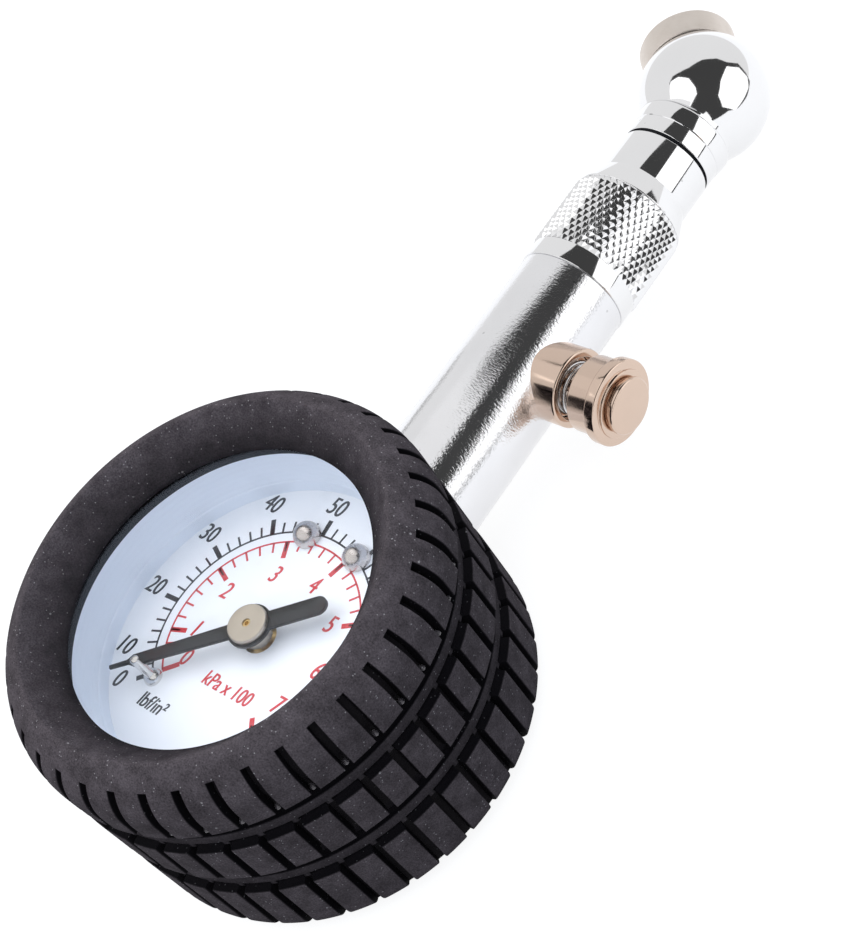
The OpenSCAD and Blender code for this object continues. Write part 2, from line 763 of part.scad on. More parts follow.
module movement_screws() {
    driver_slot = 0.3;
    color("#b9bcc0") for (side = [-1, 1])
        translate([side * plate_screw_x, plate_screw_y, lower_top]) {
            difference() {
                soft_disc(plate_head_r, plate_head_t, plate_head_t / 3);
                translate([-plate_head_r, -driver_slot / 2, plate_head_t - driver_slot])
                    cube([2 * plate_head_r, driver_slot, over]);
            }
            translate([0, 0, -plate_t - plate_thread_l])
                cylinder(r = dial_shank_r, h = plate_t + plate_thread_l);
        }
}

// Flat spiral from the arbor's collet out to a stud on the lower plate
module hairspring() {
    inner = collet_r + running;
    pitch = 0.62;
    per_turn = 20;
    steps = hair_turns * per_turn;
    stud_at = inner + pitch * hair_turns + hair_t / 2;
    edge = [for (i = [0:steps]) [inner + pitch * i / per_turn, 360 * i / per_turn]];
    outer_edge = [for (i = [steps:-1:0]) [edge[i][0] + hair_t, edge[i][1]]];
    color("#8f8a80") {
        translate([0, 0, lower_top + 0.3]) linear_extrude(hair_h)
            polygon(to_xy(concat(edge, outer_edge)));
        translate([stud_at, 0, lower_top]) cylinder(r = 0.35, h = 0.9);
    }
}

// ---------------------------------------------------------------- curved tube and socket

// Flat oval section of the curved tube, at its mean radius
module bourdon_section(inset) {
    half = bourdon_w / 2 - inset;
    straight = bourdon_h - bourdon_w;
    translate([bourdon_r, 0]) {
        translate([-half, -straight / 2]) square([2 * half, straight]);
        for (side = [-0.5, 0.5]) translate([0, side * straight]) circle(r = half);
    }
}

module bourdon_solid(inset) {
    translate([0, 0, stem_z]) rotate([0, 0, bourdon_start])
        rotate_extrude(angle = 360 + tip_turn - bourdon_start) bourdon_section(inset);
}

module bourdon_tube() {
    color("#b5853a") difference() {
        bourdon_solid(0);
        bourdon_solid(bourdon_wall);
    }
}

module bourdon_tip() {
    tip_h = bourdon_h + 2 * tip_cap;
    tip_in = 1.2;
    tip_out = 1;
    pin_top = link_z + link_t + 0.3;
    color("#b8913f") difference() {
        union() {
            rotate([0, 0, tip_turn]) translate([bourdon_r - tip_w / 2, -tip_in, stem_z - tip_h / 2])
                cube([tip_w, tip_in + tip_out, tip_h]);
            translate([tip_x, link_y, stem_z]) cylinder(r = tail_pin_r, h = pin_top - stem_z);
        }
        bourdon_solid(0);
    }
}

module socket_block() {
    color("#b8913f") difference() {
        union() {
            intersection() {
                union() {
                    translate([-block_w / 2, block_y, block_z])
                        cube([block_w, 2 * block_l, dial_under - block_z]);
                    translate([-block_w / 2, ledge_y, block_z])
                        cube([block_w, ledge_l + over, lower_under - block_z]);
                }
                cylinder(r = case_in, h = boot_w);
            }
            on_stem(block_y + over) cylinder(r = spigot_r, h = spigot_end - block_y - over);
        }
        bourdon_solid(0);
        on_stem(block_y + ledge_l) cylinder(r = passage_r, h = spigot_end);
        rotate([0, 0, bourdon_start]) translate([bourdon_r, 0, stem_z])
            rotate([90, 0, 0]) cylinder(r = bourdon_w / 4, h = block_w / 2);
        for (side = [-0.5, 0.5])
            translate([dial_screw_x + side * dial_screw_gap, dial_screw_y, dial_under - dial_shank_l])
                cylinder(r = dial_shank_r, h = dial_shank_l + over);
        for (side = [-1, 1])
            translate([side * plate_screw_x, plate_screw_y, lower_under - plate_thread_l])
                cylinder(r = dial_shank_r, h = plate_thread_l + over);
    }
}

// ---------------------------------------------------------------- stem and swivel

// The stem's tapered outside, from inside the case's wall to the collar
module stem_outside() {
    root_y = case_r * 0.9;
    on_stem(root_y) cylinder(r1 = stem_root_d / 2, r2 = stem_tip_d / 2, h = stem_end - root_y);
}

module stem_tube() {
    color("#d7dade") difference() {
        stem_outside();
        cylinder(r = case_r, h = boot_w);
        on_stem(0) cylinder(r = spigot_r, h = spigot_end);
        on_stem(0) cylinder(r = passage_r, h = stem_end + over);
        on_stem(stem_end - thread_l) cylinder(r = thread_r, h = thread_l + over);
        on_bleed(0) cylinder(r = bleed_spigot_r, h = stem_root_d);
    }
}

module knurled_collar() {
    knurl_start = collar_y + band_l;
    knurl_end = knurl_start + knurl_l;
    edge = 0.3;
    color("#dfe1e4") difference() {
        union() {
            on_stem(collar_y - thread_l) cylinder(r = thread_r, h = thread_l + over);
            on_stem(collar_y) cylinder(r = band_d / 2, h = band_l + over);
            on_stem(knurl_start) cylinder(r1 = band_d / 2, r2 = knurl_d / 2, h = edge);
            on_stem(knurl_start + edge) cylinder(r = knurl_d / 2, h = knurl_l - edge);
            on_stem(knurl_end) cylinder(r1 = knurl_d / 2, r2 = neck_r, h = taper_l);
            on_stem(knurl_end) cylinder(r = neck_r, h = neck_end - knurl_end);
        }
        on_stem(0) cylinder(r = chamber_r, h = chamber_end);
        on_stem(0) cylinder(r = swivel_r + running, h = neck_end + over);
    }
}

module swivel_ring() {
    color("#161616") on_stem(ring_y) ring(neck_r - loose, swivel_r, ring_t);
}

module swivel_seal() {
    color("#161616") on_stem(swivel_seal_y) rotate_extrude()
        translate([swivel_r + running - seat_gap - swivel_seal_wire, 0]) circle(r = swivel_seal_wire, $fn = 32);
}

module swivel_clip() {
    color("#8d9196") on_stem(clip_y) difference() {
        ring(chamber_r - 0.2, clip_groove_r, clip_t);
        translate([0, -clip_gap / 2, -over]) cube([chamber_r, clip_gap, clip_t + 2 * over]);
    }
}

// ---------------------------------------------------------------- ball chuck

module ball_head() {
    color("#dfe1e4") difference() {
        union() {
            on_stem(swivel_end) cylinder(r = swivel_r, h = head_y - swivel_end + over);
            on_stem(head_y) cylinder(r = neck_r, h = head_collar_l);
            on_stem(flare_y) cylinder(r1 = neck_r, r2 = flare_d / 2, h = flare_l);
            on_stem(flare_y) cylinder(r = ball_root_d / 2, h = ball_y - flare_y);
            difference() {
                on_mouth(0) sphere(r = ball_r);
                on_mouth(ball_flat) cylinder(r = ball_r, h = ball_r);
            }
        }
        on_stem(0) cylinder(r = swivel_hole_r, h = air_end);
        on_stem(clip_y) ring(swivel_r + over, clip_groove_r, clip_t);
        on_stem(swivel_seal_y - swivel_seal_wire)
            ring(swivel_r + over, swivel_r + running - seat_gap - 2 * swivel_seal_wire, 2 * swivel_seal_wire);
        on_mouth(spring_floor) cylinder(r = spring_room_r, h = ball_r);
        on_mouth(cap_thread_in) cylinder(r = cap_thread_r, h = ball_r);
    }
}

module chuck_cap() {
    edge = 0.35;
    seam_r = cap_r - 0.5;
    body_in = ball_flat + cap_seam;
    color("#b9b0a6") difference() {
        union() {
            on_mouth(cap_thread_in) cylinder(r = cap_thread_r, h = body_in - cap_thread_in);
            on_mouth(ball_flat) cylinder(r = seam_r, h = cap_seam + over);
            on_mouth(body_in) cylinder(r = cap_r, h = mouth_reach - edge - body_in);
            on_mouth(mouth_reach - edge) cylinder(r1 = cap_r, r2 = cap_r - edge, h = edge);
        }
        on_mouth(seal_front) cylinder(r = mouth_r, h = mouth_reach);
        on_mouth(seal_back) cylinder(r = seal_r, h = mouth_reach);
        on_mouth(0) cylinder(r = check_well_r, h = seal_back + over);
    }
}

module chuck_seal() {
    color("#1b1b1b") on_mouth(seal_back) ring(seal_r, seal_hole_r, seal_t);
}

module check_valve() {
    pin_top = seal_front - 0.2;
    color("#b8913f") {
        on_mouth(check_back) cylinder(r = check_r, h = check_t);
        on_mouth(check_back) cylinder(r = depressor_r, h = pin_top - check_back);
    }
}

module check_spring() {
    color("#a9adb2") on_mouth(spring_floor + check_wire_r)
        coil(check_spring_r, check_wire_r, check_back - spring_floor - 2 * check_wire_r, check_spring_turns, 16);
}

// ---------------------------------------------------------------- bleed valve

module bleed_body() {
    rim = 0.35;
    color("#cdb9a0") difference() {
        union() {
            difference() {
                union() {
                    on_bleed(passage_r) cylinder(r = bleed_r, h = bleed_body_end - rim - passage_r);
                    on_bleed(bleed_body_end - rim) cylinder(r1 = bleed_r, r2 = bleed_r - rim, h = rim);
                }
                stem_outside();
            }
            on_bleed(valve_seat) cylinder(r = bleed_spigot_r, h = well_floor - valve_seat);
        }
        on_bleed(well_floor) cylinder(r = spring_well_r, h = spring_well_l + over);
        on_bleed(0) cylinder(r = rod_r + running, h = bleed_body_end);
    }
}

module bleed_head() {
    color("#d3bfa6") difference() {
        union() {
            on_bleed(head_in) cylinder(r = head_band_r, h = head_band_l + over);
            on_bleed(flange_in) cylinder(r = head_flange_r, h = head_flange_l - 0.25);
            on_bleed(flange_out - 0.25) cylinder(r1 = head_flange_r, r2 = head_flange_r - 0.25, h = 0.25);
            on_bleed(flange_out) cylinder(r = step_r, h = step_l);
        }
        on_bleed(head_in - over) cylinder(r = rod_r, h = button_out);
    }
}

// Button face, its neck, and the rod that carries the valve plug
module bleed_button() {
    neck_in = flange_out + step_l;
    face_t = button_h - step_l - 0.35;
    plug_in = valve_seat - valve_seal_t - plug_t;
    color("#dcc8ae") {
        on_bleed(neck_in) cylinder(r = button_neck_r, h = button_h - step_l - face_t / 2);
        on_bleed(button_out - face_t) soft_disc(button_r, face_t, 0.25);
        on_bleed(plug_in) cylinder(r = rod_r, h = neck_in - plug_in + over / 2);
        on_bleed(plug_in) cylinder(r = plug_r, h = plug_t - seat_gap);
    }
}

module bleed_seal() {
    color("#1b1b1b") on_bleed(valve_seat - valve_seal_t - seat_gap) ring(plug_r, rod_r, valve_seal_t);
}

module bleed_spring() {
    color("#c4c8cc") on_bleed(well_floor + bleed_wire_r)
        coil(bleed_spring_r, bleed_wire_r, head_in - well_floor - 2 * bleed_wire_r, bleed_spring_turns);
}

rubber_boot();
case_shell();
lens();
lens_gasket();
dial_rim();
dial_plate();
dial_screws();
stop_pin();
pointer();
pointer_disc();
pointer_arbor();
sector_gear();
link_bar();
lower_plate();
upper_plate();
movement_pillars();
movement_screws();
hairspring();
bourdon_tube();
bourdon_tip();
socket_block();
stem_tube();
knurled_collar();
swivel_ring();
swivel_seal();
swivel_clip();
ball_head();
chuck_cap();
chuck_seal();
check_valve();
check_spring();
bleed_body();
bleed_head();
bleed_button();
bleed_seal();
bleed_spring();
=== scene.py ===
"""Looks of a hand-held dial tyre gauge: boot, dial, stem, bleed valve and ball chuck."""
import json
import logging
import math
from dataclasses import dataclass
from enum import Enum, IntEnum
from typing import Any, Iterable, Sequence

import bmesh
import bpy
import numpy as np
from mathutils import Matrix, Vector

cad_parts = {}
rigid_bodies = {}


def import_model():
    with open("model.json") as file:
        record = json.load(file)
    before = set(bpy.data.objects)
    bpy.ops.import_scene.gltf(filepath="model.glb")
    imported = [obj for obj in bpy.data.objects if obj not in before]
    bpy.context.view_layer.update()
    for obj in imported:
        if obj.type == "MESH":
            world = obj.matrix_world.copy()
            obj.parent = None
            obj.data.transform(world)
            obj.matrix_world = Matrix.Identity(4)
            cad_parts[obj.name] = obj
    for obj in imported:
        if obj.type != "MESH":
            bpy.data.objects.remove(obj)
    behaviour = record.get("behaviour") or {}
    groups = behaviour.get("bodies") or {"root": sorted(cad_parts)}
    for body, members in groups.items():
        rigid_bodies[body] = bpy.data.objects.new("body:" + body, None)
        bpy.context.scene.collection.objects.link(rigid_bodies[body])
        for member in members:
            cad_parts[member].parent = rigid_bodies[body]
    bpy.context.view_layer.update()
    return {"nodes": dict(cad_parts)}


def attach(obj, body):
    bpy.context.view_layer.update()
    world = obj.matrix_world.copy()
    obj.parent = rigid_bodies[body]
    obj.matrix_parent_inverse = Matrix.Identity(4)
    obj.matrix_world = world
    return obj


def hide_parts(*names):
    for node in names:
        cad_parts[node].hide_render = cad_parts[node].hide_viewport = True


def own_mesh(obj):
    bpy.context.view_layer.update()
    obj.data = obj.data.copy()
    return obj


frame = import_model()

log = logging.getLogger("gauge")

MM = 0.001
TO_METRES = Matrix.Scale(MM, 4)
TINY = 1e-6
HALF_TURN = math.pi
FULL_TURN = 2 * math.pi
QUARTER_TURN = math.pi / 2

Colour = tuple[float, float, float]
Point = tuple[float, float, float]
Pair = tuple[float, float]


class Body(Enum):
    """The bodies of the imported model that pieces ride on."""

    GAUGE = "gauge"
    POINTER = "pointer"
    BLEED = "bleed"
    CHUCK = "chuck"


# ---------------------------------------------------------------- node helpers


class Nodes:
    """Adds nodes to one tree and links them."""

    COLOUR_A = 6
    COLOUR_B = 7
    COLOUR_OUT = 2

    def __init__(self, tree: bpy.types.NodeTree) -> None:
        """Keeps the tree that later calls write to."""
        self.tree = tree

    def put(self, value: Any, socket: bpy.types.NodeSocket) -> None:
        """Links another socket to an input, or sets the input's own value."""
        if isinstance(value, bpy.types.NodeSocket):
            self.tree.links.new(value, socket)
        else:
            socket.default_value = value

    def add(self, kind: str, inputs: dict | None = None, **settings: Any) -> bpy.types.Node:
        """Adds one node.

        Args:
            kind: The node's type name.
            inputs: Values or sockets for its inputs, by name or index.
            settings: Values for its properties.

        Returns:
            The new node.
        """
        node = self.tree.nodes.new(kind)
        for key, value in settings.items():
            setattr(node, key, value)
        for key, value in (inputs or {}).items():
            self.put(value, node.inputs[key])
        return node

    def math(self, operation: str, *values: Any) -> bpy.types.NodeSocket:
        """Adds a Math node and returns its result."""
        return self.add("ShaderNodeMath", dict(enumerate(values)), operation=operation).outputs[0]

    def xyz(self, x: Any, y: Any, z: Any) -> bpy.types.NodeSocket:
        """Adds a Combine XYZ node and returns its vector."""
        return self.add("ShaderNodeCombineXYZ", {0: x, 1: y, 2: z}).outputs[0]

    def polar(self, turn: Any, radius: Any, height: Any) -> bpy.types.NodeSocket:
        """Adds the nodes that turn an angle, a radius and a height into a place."""
        return self.xyz(self.math("MULTIPLY", self.math("COSINE", turn), radius),
                        self.math("MULTIPLY", self.math("SINE", turn), radius), height)

    def blend(self, share: Any, a: Any, b: Any, kind: str = "MIX") -> bpy.types.NodeSocket:
        """Adds a colour Mix node.

        Args:
            share: How much of the second colour shows.
            a: The first colour, as three numbers or a socket.
            b: The second colour, in the same way.
            kind: How the two are mixed.

        Returns:
            The mixed colour.
        """
        node = self.add("ShaderNodeMix", {"Factor": share}, data_type="RGBA", blend_type=kind)
        for index, value in ((self.COLOUR_A, a), (self.COLOUR_B, b)):
            full = value if isinstance(value, bpy.types.NodeSocket) else (*value, 1)
            self.put(full, node.inputs[index])
        return node.outputs[self.COLOUR_OUT]

    def span(self, value: Any, low: float, high: float, to_low: float, to_high: float) -> Any:
        """Adds a clamped Map Range node and returns its result."""
        inputs = {"Value": value, "From Min": low, "From Max": high,
                  "To Min": to_low, "To Max": to_high}
        return self.add("ShaderNodeMapRange", inputs).outputs[0]

    def group(self, tree: bpy.types.NodeTree, inputs: dict) -> bpy.types.NodeSocket:
        """Places a shared group and returns its only output."""
        return self.add("ShaderNodeGroup", inputs, node_tree=tree).outputs[0]


def name_inputs(tree: bpy.types.NodeTree, inputs: dict[str, Any]) -> dict[str, str]:
    """Gives a tree its named inputs.

    Args:
        tree: The tree.
        inputs: Default of each input. A tuple makes a vector, a whole number an integer.

    Returns:
        Each input's identifier, by its name.
    """
    kinds = {tuple: "NodeSocketVector", int: "NodeSocketInt", float: "NodeSocketFloat"}
    ids = {}
    for label, default in inputs.items():
        socket = tree.interface.new_socket(label, in_out="INPUT", socket_type=kinds[type(default)])
        socket.default_value = default
        ids[label] = socket.identifier
    return ids


# ---------------------------------------------------------------- shader groups


class ShaderGroup(Nodes):
    """The nodes of a shader group that has named inputs and puts out one number."""

    def __init__(self, name: str, inputs: dict[str, Any], output: str) -> None:
        """Starts the group.

        Args:
            name: The group's name.
            inputs: Default of each input.
            output: The output's name.
        """
        super().__init__(bpy.data.node_groups.new(name, "ShaderNodeTree"))
        name_inputs(self.tree, inputs)
        self.tree.interface.new_socket(output, in_out="OUTPUT", socket_type="NodeSocketFloat")
        self.source = self.add("NodeGroupInput").outputs

    def end(self, value: bpy.types.NodeSocket) -> bpy.types.NodeTree:
        """Puts out the value and returns the finished group."""
        self.add("NodeGroupOutput", {0: value})
        return self.tree


def specks_group() -> bpy.types.NodeTree:
    """Builds the group that scatters small specks of dust or pits.

    Returns:
        A group from Vector, Scale, Share and Size to Mask.
    """
    inputs = {"Vector": (0.0, 0.0, 0.0), "Scale": 900.0, "Share": 0.1, "Size": 0.2}
    group = ShaderGroup("Specks", inputs, "Mask")
    source = group.source
    cells = group.add("ShaderNodeTexVoronoi", {"Vector": source["Vector"],
                                               "Scale": source["Scale"]})
    shade = group.add("ShaderNodeSeparateColor", {0: cells.outputs["Color"]}).outputs[0]
    picked = group.math("LESS_THAN", shade, source["Share"])
    near = group.math("LESS_THAN", cells.outputs["Distance"], source["Size"])
    return group.end(group.math("MULTIPLY", picked, near))


def clouds_group() -> bpy.types.NodeTree:
    """Builds the group for soft, patchy variation.

    Returns:
        A group from Vector, Scale, Low and High to Value.
    """
    inputs = {"Vector": (0.0, 0.0, 0.0), "Scale": 120.0, "Low": 0.0, "High": 1.0}
    group = ShaderGroup("Clouds", inputs, "Value")
    source = group.source
    noise = group.add("ShaderNodeTexNoise", {"Vector": source["Vector"], "Scale": source["Scale"],
                                             "Detail": 4.0, "Roughness": 0.6})
    usual_low, usual_high = 0.3, 0.7
    value = group.span(noise.outputs[0], usual_low, usual_high, 0.0, 1.0)
    spread = group.math("SUBTRACT", source["High"], source["Low"])
    return group.end(group.math("MULTIPLY_ADD", value, spread, source["Low"]))


def tool_marks_group() -> bpy.types.NodeTree:
    """Builds the group for the fine rings that turning and polishing leave.

    The marks run round the vector's Z axis: they change quickly along Z and with the
    distance from Z, and slowly round it.

    Returns:
        A group from Vector, Pitch and Waver to Height.
    """
    inputs = {"Vector": (0.0, 0.0, 0.0), "Pitch": 9000.0, "Waver": 300.0}
    group = ShaderGroup("Tool Marks", inputs, "Height")
    source = group.source
    x, y, z = group.add("ShaderNodeSeparateXYZ", {0: source["Vector"]}).outputs
    square = group.math("ADD", group.math("MULTIPLY", x, x), group.math("MULTIPLY", y, y))
    radius = group.math("SQRT", square)
    around = group.math("MULTIPLY", group.math("ARCTAN2", y, x), radius)
    along = group.math("ADD", z, radius)
    spot = group.xyz(group.math("MULTIPLY", along, source["Pitch"]),
                     group.math("MULTIPLY", around, source["Waver"]), 0.0)
    noise = group.add("ShaderNodeTexNoise", {"Vector": spot, "Scale": 1.0, "Detail": 3.0})
    return group.end(noise.outputs[0])


class Groups:
    """The shader groups that the finishes share, each built once."""

    def __init__(self) -> None:
        """Builds every group."""
        self.specks = specks_group()
        self.clouds = clouds_group()
        self.marks = tool_marks_group()


GROUPS = Groups()


@dataclass(frozen=True)
class Specks:
    """Small specks: how close their places lie, the share that is filled, and their size."""

    scale: float
    share: float
    size: float

    def add(self, nodes: Nodes, place: Any) -> bpy.types.NodeSocket:
        """Adds the specks to a material and returns their mask."""
        return nodes.group(GROUPS.specks, {"Vector": place, "Scale": self.scale,
                                           "Share": self.share, "Size": self.size})


@dataclass(frozen=True)
class Clouds:
    """Soft patches: how close they lie, and the values they run between."""

    scale: float
    low: float
    high: float

    def add(self, nodes: Nodes, place: Any) -> bpy.types.NodeSocket:
        """Adds the patches to a material and returns their value."""
        return nodes.group(GROUPS.clouds, {"Vector": place, "Scale": self.scale,
                                           "Low": self.low, "High": self.high})


# ---------------------------------------------------------------- finishes


def blank_material(name: str) -> bpy.types.Material:
    """Returns a new material with an empty node tree."""
    material = bpy.data.materials.new(name)
    material.use_nodes = True
    material.node_tree.nodes.clear()
    return material


class Direction(Enum):
    """How a finish's marks lie: the turn that brings the piece's own axis onto Z."""

    DIAL = (0.0, 0.0, 0.0)
    STEM = (QUARTER_TURN, 0.0, 0.0)
    BLEED = (0.0, -QUARTER_TURN, 0.0)


@dataclass(frozen=True)
class Finish:
    """What every finish has."""

    name: str
    slot: str
    colour: Colour
    roughness: float

    def material(self) -> bpy.types.Material:
        """Builds the material, or returns it if it is there.

        Returns:
            The finish as a material.
        """
        found = bpy.data.materials.get(self.name)
        if found:
            return found
        made = blank_material(self.name)
        nodes = Nodes(made.node_tree)
        surface = nodes.add("ShaderNodeBsdfPrincipled",
                            {"Base Color": (*self.colour, 1), "Roughness": self.roughness})
        output = nodes.add("ShaderNodeOutputMaterial")
        place = nodes.add("ShaderNodeTexCoord").outputs["Object"]
        nodes.put(self.dress(nodes, surface, place), output.inputs["Surface"])
        return made

    def dress(self, nodes: Nodes, surface: bpy.types.Node, place: Any) -> bpy.types.NodeSocket:
        """Returns the finished shader. The base class adds no detail."""
        return surface.outputs[0]


@dataclass(frozen=True)
class Rubber(Finish):
    """Moulded rubber with grain and dust. Its recesses get a near-black painted shade and keep no
    sheen.
    """

    # near-black colour painted into the recesses as their shade
    recess_painted_shade: Colour = (0.0045, 0.004, 0.005)
    patches: Clouds = Clouds(420.0, 0.7, 1.35)
    mottle: Clouds = Clouds(5200.0, 0.6, 1.45)
    dust: Specks = Specks(3100.0, 0.1, 0.24)
    crumbs: Specks = Specks(900.0, 0.04, 0.12)
    dust_colour: Colour = (0.4, 0.38, 0.38)
    dust_on_top: float = 0.5
    dust_in_recess: float = 0.12
    dust_height: float = 0.6
    sheen: float = 0.05
    sheen_in_recess: float = 0.06
    sheen_roughness: float = 0.45
    grain_scale: float = 3200.0
    grain_strength: float = 0.6
    grain_depth: float = 0.00008

    def dress(self, nodes: Nodes, surface: bpy.types.Node, place: Any) -> bpy.types.NodeSocket:
        """Mixes tops, the painted shade of the recesses and dust, and adds the mould's grain."""
        # the recess attribute is a painted-shade mask; it also thins the dust and sets the coat
        recess = nodes.add("ShaderNodeAttribute", attribute_name="recess").outputs["Fac"]
        uneven = nodes.math("MULTIPLY", self.patches.add(nodes, place),
                            self.mottle.add(nodes, place))
        tops = nodes.blend(1.0, self.colour, uneven, "MULTIPLY")
        # painted shade: the recess mask darkens the tops' colour towards near black
        body = nodes.blend(recess, tops, self.recess_painted_shade)
        specks = nodes.math("MAXIMUM", self.dust.add(nodes, place), self.crumbs.add(nodes, place))
        dirt = nodes.math("MULTIPLY", specks,
                          nodes.span(recess, 0.0, 1.0, self.dust_on_top, self.dust_in_recess))
        coat = nodes.span(recess, 0.0, 1.0, self.sheen, self.sheen_in_recess)
        grain = nodes.add("ShaderNodeTexNoise", {"Vector": place, "Scale": self.grain_scale,
                                                 "Detail": 3.0}).outputs[0]
        height = nodes.math("MULTIPLY_ADD", dirt, self.dust_height, grain)
        bump = nodes.add("ShaderNodeBump", {"Strength": self.grain_strength,
                                            "Distance": self.grain_depth, "Height": height})
        nodes.put(nodes.blend(dirt, body, self.dust_colour), surface.inputs["Base Color"])
        nodes.put(0.0, surface.inputs["Specular IOR Level"])
        nodes.put(coat, surface.inputs["Coat Weight"])
        nodes.put(self.sheen_roughness, surface.inputs["Coat Roughness"])
        nodes.put(bump.outputs[0], surface.inputs["Normal"])
        return surface.outputs[0]


@dataclass(frozen=True)
class Metal(Finish):
    """Plated or machined metal with the marks of its polishing."""

    direction: Direction = Direction.DIAL
    centre: Point = (0.0, 0.0, 0.0)
    mark_depth: float = 0.0000004
    mark_haze: float = 0.5
    pitch: float = 5000.0
    waver: float = 1200.0
    gloss_scale: float = 340.0
    glossiest: float = 0.8
    dullest: float = 1.35
    pits: Specks = Specks(700.0, 0.05, 0.12)
    pit_shade: float = 0.5
    stain_scale: float = 150.0
    tarnish: float = 0.1
    tarnish_tone: float = 0.55

    def dress(self, nodes: Nodes, surface: bpy.types.Node, place: Any) -> bpy.types.NodeSocket:
        """Adds polishing marks, a patchy gloss, small pits and a little tarnish."""
        middle = tuple(-c for c in self.centre)
        placed = nodes.add("ShaderNodeMapping", {"Vector": place, "Location": middle})
        turned = nodes.add("ShaderNodeMapping", {"Vector": placed.outputs[0],
                                                 "Rotation": self.direction.value})
        marks = nodes.group(GROUPS.marks, {"Vector": turned.outputs[0], "Pitch": self.pitch,
                                           "Waver": self.waver})
        gloss = Clouds(self.gloss_scale, self.roughness * self.glossiest,
                       self.roughness * self.dullest).add(nodes, place)
        rough = nodes.math("MULTIPLY_ADD", marks, self.roughness * self.mark_haze, gloss)
        pits = nodes.math("MULTIPLY", self.pits.add(nodes, place), self.pit_shade)
        stain = Clouds(self.stain_scale, 0.0, self.tarnish).add(nodes, place)
        dulled = tuple(c * self.tarnish_tone for c in self.colour)
        tone = nodes.blend(nodes.math("MAXIMUM", pits, stain), self.colour, dulled)
        bump = nodes.add("ShaderNodeBump", {"Strength": 1.0, "Distance": self.mark_depth,
                                            "Height": marks})
        nodes.put(1.0, surface.inputs["Metallic"])
        nodes.put(rough, surface.inputs["Roughness"])
        nodes.put(tone, surface.inputs["Base Color"])
        nodes.put(bump.outputs[0], surface.inputs["Normal"])
        return surface.outputs[0]


@dataclass(frozen=True)
class Enamel(Finish):
    """Smooth white enamel, faintly uneven, with a clear coat."""

    shade: Colour = (0.72, 0.8, 0.93)
    patches: Clouds = Clouds(90.0, 0.0, 0.12)
    dust: Specks = Specks(260.0, 0.04, 0.05)
    dust_colour: Colour = (0.2, 0.2, 0.22)
    dust_cover: float = 0.6
    coat: float = 0.2
    coat_roughness: float = 0.2

    def dress(self, nodes: Nodes, surface: bpy.types.Node, place: Any) -> bpy.types.NodeSocket:
        """Adds a faint patchiness, fine dust and a coat."""
        body = nodes.blend(self.patches.add(nodes, place), self.colour, self.shade)
        dust = nodes.math("MULTIPLY", self.dust.add(nodes, place), self.dust_cover)
        nodes.put(nodes.blend(dust, body, self.dust_colour), surface.inputs["Base Color"])
        nodes.put(self.coat, surface.inputs["Coat Weight"])
        nodes.put(self.coat_roughness, surface.inputs["Coat Roughness"])
        return surface.outputs[0]


@dataclass(frozen=True)
class Ink(Finish):
    """Printing ink or dull paint with a little grain."""

    grain: Clouds = Clouds(700.0, 0.0, 0.15)
    worn_gain: float = 1.6
    worn_lift: float = 0.02

    def dress(self, nodes: Nodes, surface: bpy.types.Node, place: Any) -> bpy.types.NodeSocket:
        """Varies the ink's tone a little."""
        worn = tuple(min(1.0, c * self.worn_gain + self.worn_lift) for c in self.colour)
        tone = nodes.blend(self.grain.add(nodes, place), self.colour, worn)
        nodes.put(tone, surface.inputs["Base Color"])
        return surface.outputs[0]


@dataclass(frozen=True)
class Clear(Finish):
    """Thin clear glass: its faces mirror, and what it covers is seen straight through it."""

    bend: float = 1.3
    smear: Clouds = Clouds(60.0, 0.3, 0.42)
    mirror_bend: float = 1.45
    mirror_gain: float = 1.4

    def dress(self, nodes: Nodes, surface: bpy.types.Node, place: Any) -> bpy.types.NodeSocket:
        """Mixes in a straight pass for everything that the glass doesn't mirror."""
        nodes.put(1.0, surface.inputs["Transmission Weight"])
        nodes.put(self.bend, surface.inputs["IOR"])
        nodes.put(self.smear.add(nodes, place), surface.inputs["Roughness"])
        rays = nodes.add("ShaderNodeLightPath").outputs
        mirrored = nodes.add("ShaderNodeFresnel", {"IOR": self.mirror_bend}).outputs[0]
        straight = nodes.math("SUBTRACT", 1.0, nodes.math("MULTIPLY", mirrored, self.mirror_gain))
        behind = nodes.add("ShaderNodeNewGeometry").outputs["Backfacing"]
        through = nodes.math("MAXIMUM", rays["Is Shadow Ray"], rays["Is Diffuse Ray"])
        through = nodes.math("MAXIMUM", nodes.math("MAXIMUM", through, behind), straight)
        clear = nodes.add("ShaderNodeBsdfTransparent")
        mixed = nodes.add("ShaderNodeMixShader", {0: through, 1: surface.outputs[0],
                                                  2: clear.outputs[0]})
        return mixed.outputs[0]


# the stem's height over the back and the bleed valve's place along it, in millimetres
STEM_Z = 10.3
BLEED_Y = 46.2
STEM_MIDDLE = (0.0, 0.0, STEM_Z * MM)
BLEED_MIDDLE = (0.0, BLEED_Y * MM, STEM_Z * MM)
# no specks at all
CLEAN = Specks(900.0, 0.0, 0.0)

RUBBER = Rubber("moulded_rubber", "boot_rubber", (0.06, 0.051, 0.055), 0.8)
